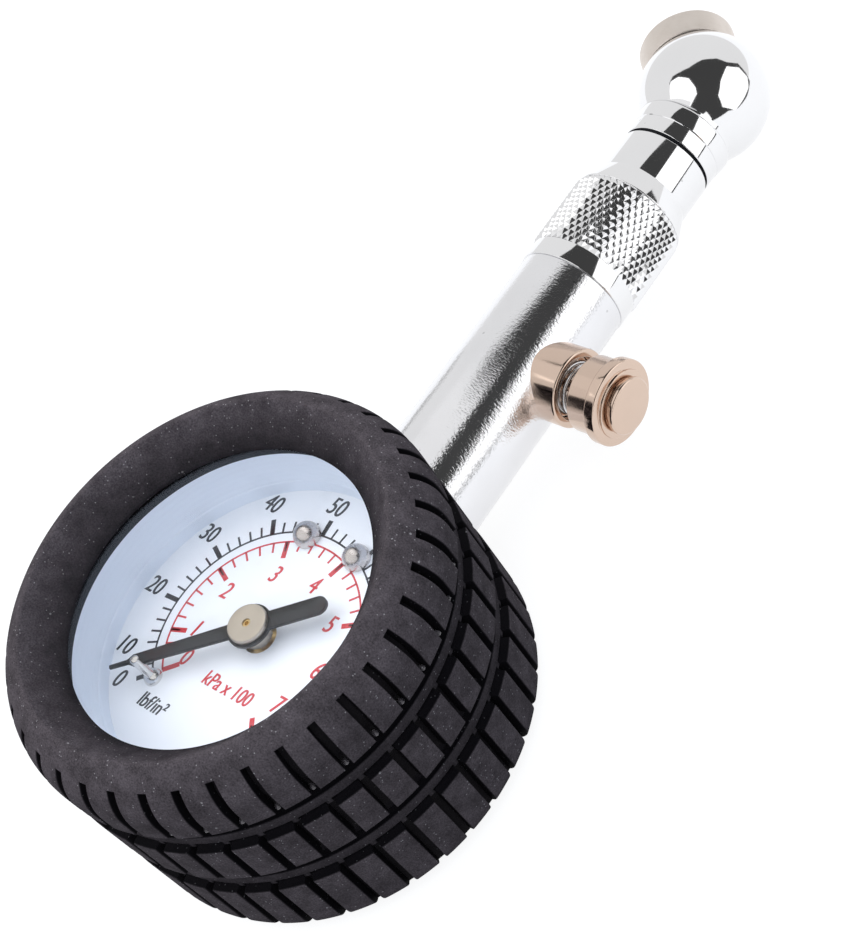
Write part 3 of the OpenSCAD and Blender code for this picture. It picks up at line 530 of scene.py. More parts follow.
# the nubs' lighter base colour is a painted highlight; their glossy coat is real
NUB_RUBBER_PAINTED_HIGHLIGHT = Rubber("nub_rubber_painted_highlight", "boot_rubber", (0.07, 0.062, 0.066), 0.6, sheen=1.0,
                    sheen_roughness=0.22)
SEAL_RUBBER = Rubber("seal_rubber", "black_rubber", (0.008, 0.008, 0.009), 0.5, dust=CLEAN,
                     crumbs=CLEAN)
CHROME = Metal("stem_chrome", "chrome", (0.82, 0.82, 0.84), 0.09, direction=Direction.STEM,
               centre=STEM_MIDDLE, mark_depth=0.000036, pitch=4200.0, waver=2200.0)
BALL_CHROME = Metal("ball_chrome", "chrome", (0.84, 0.84, 0.85), 0.05, direction=Direction.STEM,
                    centre=STEM_MIDDLE, mark_depth=0.0000003, waver=2500.0, tarnish=0.05)
WARM_NICKEL = Metal("plated_nickel", "warm_nickel", (0.665, 0.517, 0.425), 0.1,
                    direction=Direction.BLEED, centre=BLEED_MIDDLE, mark_depth=0.0000005)
DISC_NICKEL = Metal("disc_nickel", "nickel", (0.64, 0.585, 0.51), 0.36, mark_depth=0.0000012,
                    pitch=9000.0, waver=200.0)
SATIN_NICKEL = Metal("matt_nickel", "satin_nickel", (0.75, 0.69, 0.64), 0.38, mark_depth=0.000001)
STEEL = Metal("bright_steel", "steel", (0.74, 0.73, 0.72), 0.16)
SCREW_STEEL = Metal("screw_steel", "steel", (0.62, 0.585, 0.57), 0.2)
SPRING_WIRE = Metal("drawn_wire", "spring_wire", (0.72, 0.73, 0.75), 0.2)
BRASS = Metal("machined_brass", "brass", (0.72, 0.53, 0.25), 0.26, mark_depth=0.0000012)
CASE_PAINT = Ink("case_paint", "case_steel", (0.05, 0.051, 0.055), 0.4)
ENAMEL = Enamel("dial_enamel", "white_enamel", (0.93, 0.945, 0.975), 0.35)
# the rim's white enamel made darker and bluer as painted shade
SHADED_RIM_ENAMEL = Enamel("rim_enamel_painted_shade", "white_enamel", (0.82, 0.885, 0.985), 0.3)
BLACK_INK = Ink("black_ink", "black_paint", (0.02, 0.022, 0.028), 0.5)
RED_INK = Ink("red_ink", "black_paint", (0.6, 0.035, 0.045), 0.5)
POINTER_BLACK = Ink("pointer_black", "black_paint", (0.016, 0.016, 0.017), 0.55)
WINDOW = Clear("window_glass", "clear_lens", (1.0, 1.0, 1.0), 0.0)


# ---------------------------------------------------------------- mesh helpers


@dataclass(frozen=True)
class Axis:
    """The line that a turned piece is made about, in millimetres."""

    origin: Point
    direction: Point

    def matrix(self) -> Matrix:
        """Returns the move from the lathe's millimetres to the frame's metres."""
        along = Vector(self.direction)
        side = Vector((1, 0, 0)) if abs(along.x) < 0.9 else Vector((0, 1, 0))
        up = along.cross(side).normalized()
        turn = Matrix((up.cross(along), up, along)).transposed().to_4x4()
        return TO_METRES @ Matrix.Translation(self.origin) @ turn

    def at(self, distance: float) -> Vector:
        """Returns the point at a distance along the axis, in millimetres."""
        return Vector(self.origin) + Vector(self.direction) * distance


@dataclass(frozen=True)
class Corner:
    """One corner of a turned outline: radius, height and how far it is rounded."""

    r: float
    h: float
    fillet: float = 0.0


Outline = Sequence[Corner]


class Facets(IntEnum):
    """How many faces a turned piece has round it."""

    LARGE = 256
    MEDIUM = 192
    DISC = 128
    BUSH = 96
    SCREW = 64
    PIN = 48


def arc(radius: float, turns: Iterable[float], x: float = 0.0, y: float = 0.0) -> list[Pair]:
    """Returns points on a circle.

    Args:
        radius: The circle's radius.
        turns: The points' angles, in radians.
        x: Where the circle's middle lies.
        y: Where it lies on the other axis.

    Returns:
        One point for each angle.
    """
    return [(x + radius * math.cos(t), y + radius * math.sin(t)) for t in turns]


def corners_at(points: Iterable[Pair]) -> list[Corner]:
    """Returns sharp corners at points."""
    return [Corner(r, h) for r, h in points]


def rounded(corners: Outline, closed: bool, steps: int = 5) -> list[Pair]:
    """Rounds the corners of an outline.

    Args:
        corners: The outline's corners.
        closed: Whether the last corner joins the first.
        steps: Straight pieces in each rounded corner.

    Returns:
        Points as radius and height.
    """
    points = []
    count = len(corners)
    for i, corner in enumerate(corners):
        here = Vector((corner.r, corner.h))
        at_end = not closed and i in (0, count - 1)
        if corner.fillet == 0 or at_end:
            points.append(tuple(here))
            continue
        before, after = corners[i - 1], corners[(i + 1) % count]
        back = (Vector((before.r, before.h)) - here).normalized()
        ahead = (Vector((after.r, after.h)) - here).normalized()
        half = back.angle(ahead) / 2
        run = corner.fillet / math.tan(half)
        centre = here + (back + ahead).normalized() * corner.fillet / math.sin(half)
        first, last = here + back * run - centre, here + ahead * run - centre
        start = math.atan2(first.y, first.x)
        sweep = math.atan2(first.x * last.y - first.y * last.x, first.dot(last))
        turns = [start + sweep * k / steps for k in range(steps + 1)]
        points += arc(corner.fillet, turns, centre.x, centre.y)
    return points


def new_mesh(name: str, work: bmesh.types.BMesh) -> bpy.types.Mesh:
    """Puts an edited shape into a new mesh and frees the shape."""
    mesh = bpy.data.meshes.new(name)
    work.to_mesh(mesh)
    work.free()
    return mesh


def new_object(name: str, data: Any) -> bpy.types.Object:
    """Returns a new object with the data, put in the scene."""
    made = bpy.data.objects.new(name, data)
    bpy.context.scene.collection.objects.link(made)
    return made


def solved(holder: bpy.types.Object) -> bpy.types.Mesh:
    """Returns the plain mesh that an object comes out as, and removes the object."""
    graph = bpy.context.evaluated_depsgraph_get()
    mesh = bpy.data.meshes.new_from_object(holder.evaluated_get(graph))
    bpy.data.objects.remove(holder)
    return mesh


def finish_mesh(mesh: bpy.types.Mesh, sharp: float = 35.0) -> bpy.types.Mesh:
    """Turns a mesh's faces outwards and shades it smooth between its sharp edges."""
    work = bmesh.new()
    work.from_mesh(mesh)
    bmesh.ops.remove_doubles(work, verts=work.verts, dist=TINY * MM)
    bmesh.ops.recalc_face_normals(work, faces=work.faces)
    work.to_mesh(mesh)
    work.free()
    mesh.shade_smooth()
    mesh.set_sharp_from_angle(angle=math.radians(sharp))
    return mesh


def lathe(name: str, corners: Outline, axis: Axis, facets: Facets,
          closed: bool = False) -> bpy.types.Mesh:
    """Turns an outline about an axis.

    Args:
        name: The mesh's name.
        corners: The outline. Unless it is closed, both its ends lie on the axis.
        axis: The line to turn about.
        facets: Faces round the axis.
        closed: Whether the outline closes on itself, as a ring's does.

    Returns:
        A closed mesh in the frame's metres.
    """
    path = rounded(corners, closed)
    angles = [FULL_TURN * k / facets for k in range(facets)]
    points, rows = [], []
    for r, h in path:
        if r < TINY:
            rows.append([len(points)] * facets)
            points.append((0.0, 0.0, h))
            continue
        rows.append(range(len(points), len(points) + facets))
        points.extend((x, y, h) for x, y in arc(r, angles))
    pairs = list(zip(rows, rows[1:])) + ([(rows[-1], rows[0])] if closed else [])
    faces = []
    for low, high in pairs:
        for k in range(facets):
            n = (k + 1) % facets
            ring = [low[k], low[n], high[n], high[k]]
            face = list(dict.fromkeys(ring))
            if len(face) > 2:
                faces.append(face)
    mesh = bpy.data.meshes.new(name)
    mesh.from_pydata(points, [], faces)
    mesh.transform(axis.matrix())
    return finish_mesh(mesh)


def joined(name: str, meshes: Iterable[bpy.types.Mesh]) -> bpy.types.Mesh:
    """Joins meshes into one and keeps their shading."""
    work = bmesh.new()
    for mesh in meshes:
        work.from_mesh(mesh)
    return new_mesh(name, work)


def place(name: str, mesh: bpy.types.Mesh, finish: Finish, body: Body,
          replaces: Sequence[str] = ()) -> bpy.types.Object:
    """Puts a finished mesh in the scene as a piece.

    Args:
        name: The piece's name.
        mesh: Its mesh, already in its place.
        finish: Its finish.
        body: The body it rides on.
        replaces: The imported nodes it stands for.

    Returns:
        The piece.
    """
    piece = new_object(name, mesh)
    mesh.materials.clear()
    mesh.materials.append(finish.material())
    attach(piece, body.value)
    if replaces:
        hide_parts(*replaces)
    log.info("%s rides on %s, %d faces", name, body.value, len(mesh.polygons))
    return piece


def dress_node(node: str, finish: Finish) -> None:
    """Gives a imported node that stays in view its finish."""
    piece = frame["nodes"][node]
    piece.data.materials.clear()
    piece.data.materials.append(finish.material())
    log.info("%s keeps its packed shape", node)


# ---------------------------------------------------------------- geometry node trees


class Recipe:
    """A Geometry Nodes tree with named inputs that ends in plain, finished geometry."""

    def __init__(self, name: str, inputs: dict[str, Any]) -> None:
        """Starts the tree with its named inputs.

        Args:
            name: The tree's name.
            inputs: Default of each input. A whole number makes an integer input.
        """
        self.tree = bpy.data.node_groups.new(name, "GeometryNodeTree")
        self.ids = name_inputs(self.tree, inputs)
        finish = self.tree.interface.new_socket("Finish", in_out="INPUT",
                                                socket_type="NodeSocketMaterial")
        self.ids["Finish"] = finish.identifier
        self.tree.interface.new_socket("Geometry", in_out="OUTPUT",
                                       socket_type="NodeSocketGeometry")
        self.nodes = Nodes(self.tree)
        self.source = self.nodes.add("NodeGroupInput").outputs

    def scatter(self, count: Any, position: Any, stud: Any, rotation: Any,
                scale: Any = (1.0, 1.0, 1.0)) -> Any:
        """Sets copies of one shape on computed points.

        Args:
            count: How many points.
            position: Each point's place, as a field.
            stud: The shape.
            rotation: Each copy's turn as Euler angles.
            scale: Each copy's scale.

        Returns:
            The instances.
        """
        nodes = self.nodes
        points = nodes.add("GeometryNodePoints", {"Count": count, "Position": position})
        turn = nodes.add("FunctionNodeEulerToRotation", {0: rotation})
        copies = nodes.add("GeometryNodeInstanceOnPoints",
                           {"Points": points.outputs[0], "Instance": stud,
                            "Rotation": turn.outputs[0], "Scale": scale})
        return copies.outputs[0]

    def sweep(self, curve: bpy.types.Node, section: bpy.types.Node) -> bpy.types.NodeSocket:
        """Runs a section along a curve, closes its ends and returns the solid."""
        solid = self.nodes.add("GeometryNodeCurveToMesh", {
            "Curve": curve.outputs[0], "Profile Curve": section.outputs[0], "Fill Caps": True})
        return solid.outputs[0]

    def end(self, *parts: Any) -> None:
        """Joins the parts, makes the copies real and sets their finish."""
        nodes = self.nodes
        join = nodes.add("GeometryNodeJoinGeometry")
        for part in reversed(parts):
            self.tree.links.new(part, join.inputs[0])
        real = nodes.add("GeometryNodeRealizeInstances", {"Geometry": join.outputs[0]})
        coated = nodes.add("GeometryNodeSetMaterial",
                           {"Geometry": real.outputs[0], "Material": self.source["Finish"]})
        nodes.add("NodeGroupOutput", {0: coated.outputs[0]})

    def make(self, name: str, finish: Finish, axis: Axis, sizes: dict[str, Any],
             sharp: float = 35.0) -> bpy.types.Mesh:
        """Runs the tree once.

        Args:
            name: The mesh's name.
            finish: Its finish.
            axis: Where the tree's Z axis goes.
            sizes: Values of the named inputs, in millimetres and radians.
            sharp: The angle over which an edge stays sharp.

        Returns:
            A plain mesh in the frame's metres.
        """
        base = new_object(name, bpy.data.meshes.new(name))
        modifier = base.modifiers.new("recipe", "NODES")
        modifier.node_group = self.tree
        for label, value in sizes.items():
            modifier[self.ids[label]] = value
        modifier[self.ids["Finish"]] = finish.material()
        mesh = solved(base)
        mesh.transform(axis.matrix())
        return finish_mesh(mesh, sharp)


def knurl_recipe() -> Recipe:
    """Builds the tree that sets diamond studs round a cylinder.

    Returns:
        The recipe, with its axis along Z.
    """
    recipe = Recipe("Diamond Knurl", {"Radius": 7.3, "Around": 48, "Rows": 12, "Row Step": 0.8,
                                      "Start": 0.0, "Height": 0.3, "Flat": 0.2})
    nodes, source = recipe.nodes, recipe.source
    index = nodes.add("GeometryNodeInputIndex").outputs[0]
    row = nodes.math("FLOOR", nodes.math("DIVIDE", index, source["Around"]))
    column = nodes.math("MODULO", index, source["Around"])
    half_step = nodes.math("MULTIPLY", nodes.math("MODULO", row, 2.0), 0.5)
    steps = nodes.math("ADD", column, half_step)
    turn = nodes.math("DIVIDE", nodes.math("MULTIPLY", steps, FULL_TURN), source["Around"])
    along = nodes.math("MULTIPLY_ADD", row, source["Row Step"], source["Start"])
    half_width = nodes.math("DIVIDE", nodes.math("MULTIPLY", source["Radius"], HALF_TURN),
                            source["Around"])
    stud = nodes.add("GeometryNodeMeshCone", {"Vertices": 4, "Radius Top": source["Flat"],
                                              "Radius Bottom": 1.0, "Depth": 1.0},
                     fill_type="NGON")
    copies = recipe.scatter(nodes.math("MULTIPLY", source["Around"], source["Rows"]),
                            nodes.polar(turn, source["Radius"], along), stud.outputs[0],
                            nodes.xyz(0.0, QUARTER_TURN, turn),
                            nodes.xyz(source["Row Step"], half_width, source["Height"]))
    recipe.end(copies)
    return recipe


def ring_recipe() -> Recipe:
    """Builds the tree that sets soft nubs round a ring.

    Returns:
        The recipe, with its axis along Z.
    """
    recipe = Recipe("Ring of Nubs", {"Radius": 26.0, "Count": 40, "First": 0.0, "Height": 0.0,
                                     "Tall": 0.2, "Wide": 0.3, "Long": 0.3})
    nodes, source = recipe.nodes, recipe.source
    index = nodes.add("GeometryNodeInputIndex").outputs[0]
    step = nodes.math("DIVIDE", FULL_TURN, source["Count"])
    turn = nodes.math("MULTIPLY_ADD", index, step, source["First"])
    nub = nodes.add("GeometryNodeMeshIcoSphere", {"Radius": 1.0, "Subdivisions": 2})
    copies = recipe.scatter(source["Count"], nodes.polar(turn, source["Radius"], source["Height"]),
                            nub.outputs[0], nodes.xyz(0.0, 0.0, turn),
                            nodes.xyz(source["Tall"], source["Wide"], source["Long"]))
    recipe.end(copies)
    return recipe


def scale_recipe() -> Recipe:
    """Builds the tree that draws a dial's arc and its two kinds of ticks.

    Returns:
        The recipe. A negative tick length runs inwards.
    """
    recipe = Recipe("Dial Scale", {
        "Radius": 13.75, "First": 0.0, "Last": 1.0, "Step": 0.1, "Ticks": 10, "Long Every": 5,
        "Line": 0.22, "Short Length": 1.4, "Short Width": 0.25, "Long Length": 2.1,
        "Long Width": 0.6, "Thick": 0.03})
    nodes, source = recipe.nodes, recipe.source
    index = nodes.add("GeometryNodeInputIndex").outputs[0]
    long_ticks = nodes.math("CEIL", nodes.math("DIVIDE", source["Ticks"], source["Long Every"]))
    kinds = (("Short Length", "Short Width", 1.0, source["Ticks"]),
             ("Long Length", "Long Width", source["Long Every"], long_ticks))
    ticks = []
    for length, width, every, count in kinds:
        skip = nodes.math("MULTIPLY", index, every)
        turn = nodes.math("MULTIPLY_ADD", skip, source["Step"], source["First"])
        middle = nodes.math("MULTIPLY_ADD", source[length], 0.5, source["Radius"])
        size = nodes.xyz(nodes.math("ABSOLUTE", source[length]), source[width], source["Thick"])
        bar = nodes.add("GeometryNodeMeshCube", {"Size": size})
        ticks.append(recipe.scatter(count, nodes.polar(turn, middle, 0.0), bar.outputs[0],
                                    nodes.xyz(0.0, 0.0, turn)))
    line = nodes.add("GeometryNodeCurveArc", {
        "Resolution": 160, "Radius": source["Radius"], "Start Angle": source["First"],
        "Sweep Angle": nodes.math("SUBTRACT", source["Last"], source["First"])})
    section = nodes.add("GeometryNodeCurvePrimitiveQuadrilateral",
                        {"Width": source["Line"], "Height": source["Thick"]})
    recipe.end(recipe.sweep(line, section), *ticks)
    return recipe


def coil_recipe() -> Recipe:
    """Builds the tree that winds a spring on Z.

    Returns:
        The recipe.
    """
    recipe = Recipe("Coil Spring", {"Radius": 3.0, "Height": 3.0, "Turns": 3.0, "Wire": 0.3})
    nodes, source = recipe.nodes, recipe.source
    spiral = nodes.add("GeometryNodeCurveSpiral", {
        "Resolution": 48, "Rotations": source["Turns"], "Start Radius": source["Radius"],
        "End Radius": source["Radius"], "Height": source["Height"]})
    wire = nodes.add("GeometryNodeCurvePrimitiveCircle",
                     {"Resolution": 12, "Radius": source["Wire"]})
    recipe.end(recipe.sweep(spiral, wire))
    return recipe


# ---------------------------------------------------------------- axes of the gauge

ALONG_X = (1.0, 0.0, 0.0)
ALONG_Y = (0.0, 1.0, 0.0)
ALONG_Z = (0.0, 0.0, 1.0)
DIAL_AXIS = Axis((0.0, 0.0, 0.0), ALONG_Z)
STEM_AXIS = Axis((0.0, 0.0, STEM_Z), ALONG_Y)
BLEED_AXIS = Axis((0.0, BLEED_Y, STEM_Z), ALONG_X)


# ---------------------------------------------------------------- boot


@dataclass
class Boot:
    """The rubber boot: a small tyre with three rows of blocks and a rib in each groove."""

    radius: float = 26.5
    crest: float = 34.0
    front_round: float = 7.0
    back_round: float = 2.5
    lip_r: float = 18.7
    lip_z: float = 29.1
    lip_t: float = 0.4
    lip_round: float = 0.12
    # width at the lip's edge that takes painted shade, which fades up the dished cone
    lip_shade_band: float = 0.3
    cone_r: float = 22.8
    crest_fillet: float = 0.5
    crest_lead: float = 0.09
    case_r: float = 21.5
    back_r: float = 18.0
    back_t: float = 1.6
    slots: int = 40
    slot_w: float = 1.0
    slot_depth: float = 1.4
    slot_top: float = 31.5
    slot_phase: float = -0.7
    groove_depth: float = 2.0
    groove_w: float = 3.9
    grooves: tuple[float, ...] = (10.4, 20.7)
    rib_gap: float = 0.5
    rib_w: float = 1.5
    rib_drop: float = 0.9
    rib_edge: float = 0.12
    tie_w: float = 0.8
    tie_reach: float = 0.2
    edge: float = 0.16
    edge_shares: tuple[float, ...] = (1.0, 0.6, 0.25)
    rib_shares: tuple[float, ...] = (1.0, 0.4)
    draft: float = 0.07
    shoulder_points: int = 26
    shoulder_gap: float = 0.02
    back_points: int = 12
    block_points: int = 4
    side_start: float = 0.9
    side_step: float = 1.0
    side_gap: float = 0.35
    # painted shade of the recesses: how it runs over an edge, its share at the lip and on floors,
    # and how much the ribs keep off
    shade_run: float = 0.6
    lip_painted_shade: float = 0.72
    floor_painted_shade: float = 0.86
    rib_shade_lift: float = 0.34
    nub_sink: float = 0.75
    nub_lift: float = 0.3
    nub_tall: float = 0.5
    nub_wide: float = 0.36
    nub_long: float = 0.32

    @property
    def arc_z(self) -> float:
        """Returns the height of the middle of the shoulder's round."""
        return self.crest - self.front_round

    @property
    def arc_r(self) -> float:
        """Returns how far the middle of the shoulder's round lies from the axis."""
        return self.radius - self.front_round

    def steps_at(self, edge: float, sign: int) -> list[float]:
        """Returns the stations that round an edge and start its wall."""
        steps = [-share * self.edge for share in self.edge_shares] + [0.0, self.draft]
        return [edge + sign * into for into in steps]

    def outline(self) -> list[Pair]:
        """Returns the section's outer points, from the lip over the tread to the back."""
        slope = (self.crest - self.lip_z) / (self.cone_r - self.lip_r)
        # where the dished cone meets the shoulder's round
        rise = self.lip_z - self.arc_z - slope * (self.lip_r - self.arc_r)
        a, b, c = 1 + slope ** 2, 2 * slope * rise, rise ** 2 - self.front_round ** 2
        meet = (-b + math.sqrt(b * b - 4 * a * c)) / (2 * a)
        crest = Corner(self.arc_r + meet, self.arc_z + slope * meet + rise, self.crest_fillet)
        start = math.atan2(crest.h - self.arc_z, meet) - self.crest_lead
        lead = corners_at(arc(self.front_round, [start], self.arc_r, self.arc_z))
        cone = rounded([Corner(self.lip_r, self.lip_z - self.lip_t),
                        Corner(self.lip_r, self.lip_z, self.lip_round), crest, *lead], False)
        ends = {math.asin((z - self.arc_z) / self.front_round)
                for z in self.steps_at(self.slot_top, -1)}
        even = {round(float(t), 5) for t in np.linspace(start, 0.0, self.shoulder_points)}
        kept = {t for t in even if all(abs(t - e) > self.shoulder_gap for e in ends)}
        front = arc(self.front_round, sorted(kept | ends, reverse=True), self.arc_r, self.arc_z)
        side = [(self.radius, z) for z in self.side_heights(self.arc_z)]
        back = arc(self.back_round, np.linspace(0.0, -QUARTER_TURN, self.back_points),
                   self.radius - self.back_round, self.back_round)
        return cone + front[1:] + side + back

    def inside(self) -> list[Pair]:
        """Returns the section's points on the back's inner edge and round the case."""
        return [(self.back_r, 0.0), (self.back_r, self.back_t), (self.case_r, self.back_t),
                (self.case_r, self.lip_z - self.lip_t)]

    def side_heights(self, top: float) -> list[float]:
        """Returns the heights on the straight side, close together at every edge."""
        heights = set()
        rib_steps = [-share * self.rib_edge for share in self.rib_shares] + [0.0, self.draft]
        for low in self.grooves:
            rib = low + self.rib_gap
            heights.update(self.steps_at(low, 1) + self.steps_at(low + self.groove_w, -1))
            for side, sign in ((rib, -1), (rib + self.rib_w, 1)):
                heights.update(side + sign * into for into in rib_steps)
        for z in np.arange(self.back_round + self.side_start, top, self.side_step):
            if all(abs(z - h) > self.side_gap for h in heights):
                heights.add(float(z))
        return sorted((round(h, 4) for h in heights), reverse=True)

    def edge_drop(self, into: np.ndarray, full: np.ndarray) -> np.ndarray:
        """Returns how far the surface lies under a block's top.

        Args:
            into: Distance past the block's edge, negative on the block.
            full: Depth of the recess there.

        Returns:
            The drop, rounded at the edge and steep beyond it.
        """
        share = np.clip((into + self.edge) / self.edge, 0.0, 1.0)
        turn = self.edge * (1 - np.sqrt(1 - share ** 2))
        wall = np.where(into >= self.draft - TINY, full, turn)
        return np.minimum(wall, full)

    def slot_angles(self) -> tuple[np.ndarray, np.ndarray]:
        """Returns every column's angle, and its distance past the nearest slot's edge."""
        half = self.slot_w / 2
        pitch = FULL_TURN * self.radius / self.slots
        marks = self.steps_at(half, -1) + [self.tie_w / 2, self.tie_w / 2 - self.draft]
        offsets = sorted({0.0, *marks, *(-m for m in marks)})
        plain = np.linspace(half + self.edge, pitch - half - self.edge, self.block_points + 2)
        offsets += [float(x) for x in plain[1:-1]]
        angles, into = [], []
        for i in range(self.slots):
            centre = math.radians(self.slot_phase) + FULL_TURN * i / self.slots
            for x in offsets:
                angles.append(centre + x / self.radius)
                into.append(half - min(abs(x), abs(pitch - x)))
        return np.array(angles), np.array(into)

    def slot_full(self, r: np.ndarray, z: np.ndarray) -> np.ndarray:
        """Returns the slots' depth at each point of the outline, along the radius."""
        reach = self.front_round - self.slot_depth
        rise = np.clip(z - self.arc_z, 0.0, reach)
        return np.maximum(r - self.arc_r - np.sqrt(reach ** 2 - rise ** 2), 0.0)

    def relief(self, r: np.ndarray, z: np.ndarray, outside: np.ndarray,
               into_slot: np.ndarray) -> tuple[np.ndarray, np.ndarray]:
        """Works out the slots, the grooves and the ribs in them.

        Args:
            r: Radius of each point of the outline, as a column.
            z: Height of each point of the outline, as a column.
            outside: Which points of the outline lie on the tread.
            into_slot: Each column's distance past the nearest slot's edge, as a row.

        Returns:
            How far each point drops towards the axis, and how far it lies in a recess.
        """
        into = np.minimum(into_slot, self.slot_top - z)
        drop = self.edge_drop(into, np.where(outside, self.slot_full(r, z), 0.0))
        deepest = np.where(outside & (drop > 0.0), into, -1.0)
        for low in self.grooves:
            into = np.minimum(z - low, low + self.groove_w - z)
            full = np.where(outside & (into > -self.edge), self.groove_depth, 0.0)
            drop = np.maximum(drop, self.edge_drop(into, full))
            deepest = np.maximum(deepest, np.where(outside, into, -1.0))
            rib = low + self.rib_gap
            on_rib = np.minimum(z - rib, rib + self.rib_w - z) + 0.0 * drop
            in_tie = self.tie_w / 2 - (self.slot_w / 2 - into_slot)
            tied = np.minimum(in_tie, rib + self.tie_reach - z)
            on_rib = np.where(z > low - TINY, np.maximum(on_rib, tied), on_rib)
            share = np.clip(1 - on_rib / self.rib_edge, 0.0, 1.0)
            shape = self.rib_drop + self.rib_edge * (1 - np.sqrt(1 - share ** 2))
            drop = np.where(outside & (on_rib > -TINY), np.minimum(drop, shape), drop)
            # the rib tops are kept partly out of the painted shade
            shade_lift = -self.rib_shade_lift * self.edge * (1 - share)
            deepest = np.where(on_rib > -TINY, shade_lift, deepest)
        return drop, deepest

    def mesh(self) -> bpy.types.Mesh:
        """Returns the boot, with the painted shade of its recesses marked in an attribute."""
        outer = self.outline()
        path = np.array(outer + self.inside())
        angles, into_slot = self.slot_angles()
        r, z = path[:, :1], path[:, 1:]
        order = np.arange(len(path))[:, None]
        outside = (order < len(outer)) & (r > self.arc_r)
        drop, deepest = self.relief(r, z, outside, into_slot[None, :])
        radii = r - drop
        x, y = radii * np.cos(angles), radii * np.sin(angles)
        heights = np.broadcast_to(z, x.shape)
        points = np.stack([x, y, heights], axis=-1).reshape(-1, 3) * MM
        ids = np.arange(x.size).reshape(x.shape)
        after, over = np.roll(ids, -1, axis=0), np.roll(ids, -1, axis=1)
        faces = np.stack([ids, over, np.roll(after, -1, axis=1), after], axis=-1).reshape(-1, 4)
        mesh = bpy.data.meshes.new("boot")
        mesh.from_pydata(points.tolist(), [], faces.tolist())
        # painted shade: the mask is 0 on block tops, 1 on walls, a little less on floors and at
        # the lip; it also thins the dust and sets the coat
        mask = np.clip(1 + deepest / (self.shade_run * self.edge), 0, 1)
        mask = np.where(deepest > self.draft / 2, self.floor_painted_shade, mask)
        # painted shade at the lip's edge, fading up the dished cone
        lip = (order < len(path) / 2) & (r < self.lip_r + self.lip_shade_band)
        mask = np.where(lip, self.lip_painted_shade, mask)
        recess = mesh.attributes.new("recess", "FLOAT", "POINT")
        recess.data.foreach_set("value", np.broadcast_to(mask, x.shape).astype(np.float32).ravel())
        return finish_mesh(mesh, sharp=50.0)

    def nubs(self) -> bpy.types.Mesh:
        """Returns the mould's small nubs on the first row of blocks."""
        edge = self.grooves[-1] + self.groove_w
        return ring_recipe().make("boot_nubs", NUB_RUBBER_PAINTED_HIGHLIGHT, DIAL_AXIS, {
            "Radius": self.radius - self.nub_sink, "Count": self.slots,
            "First": math.radians(self.slot_phase), "Height": edge + self.nub_lift,
            "Tall": self.nub_tall, "Wide": self.nub_wide, "Long": self.nub_long}, sharp=80.0)

    def build(self) -> None:
        """Places the boot and its nubs."""
        place("boot", self.mesh(), RUBBER, Body.GAUGE, ["rubber_boot"])
        place("boot_nubs", self.nubs(), NUB_RUBBER_PAINTED_HIGHLIGHT, Body.GAUGE)


# ---------------------------------------------------------------- dial


@dataclass(frozen=True)
class Label:
    """One printed word or number, by its middle in dial millimetres."""

    words: str
    x: float
    y: float
    height: float

    @staticmethod
    def polar(words: str, turn: float, radius: float, height: float) -> "Label":
        """Returns a label whose middle lies at an angle in degrees and a radius."""
        a = math.radians(turn)
        return Label(words, radius * math.cos(a), radius * math.sin(a), height)


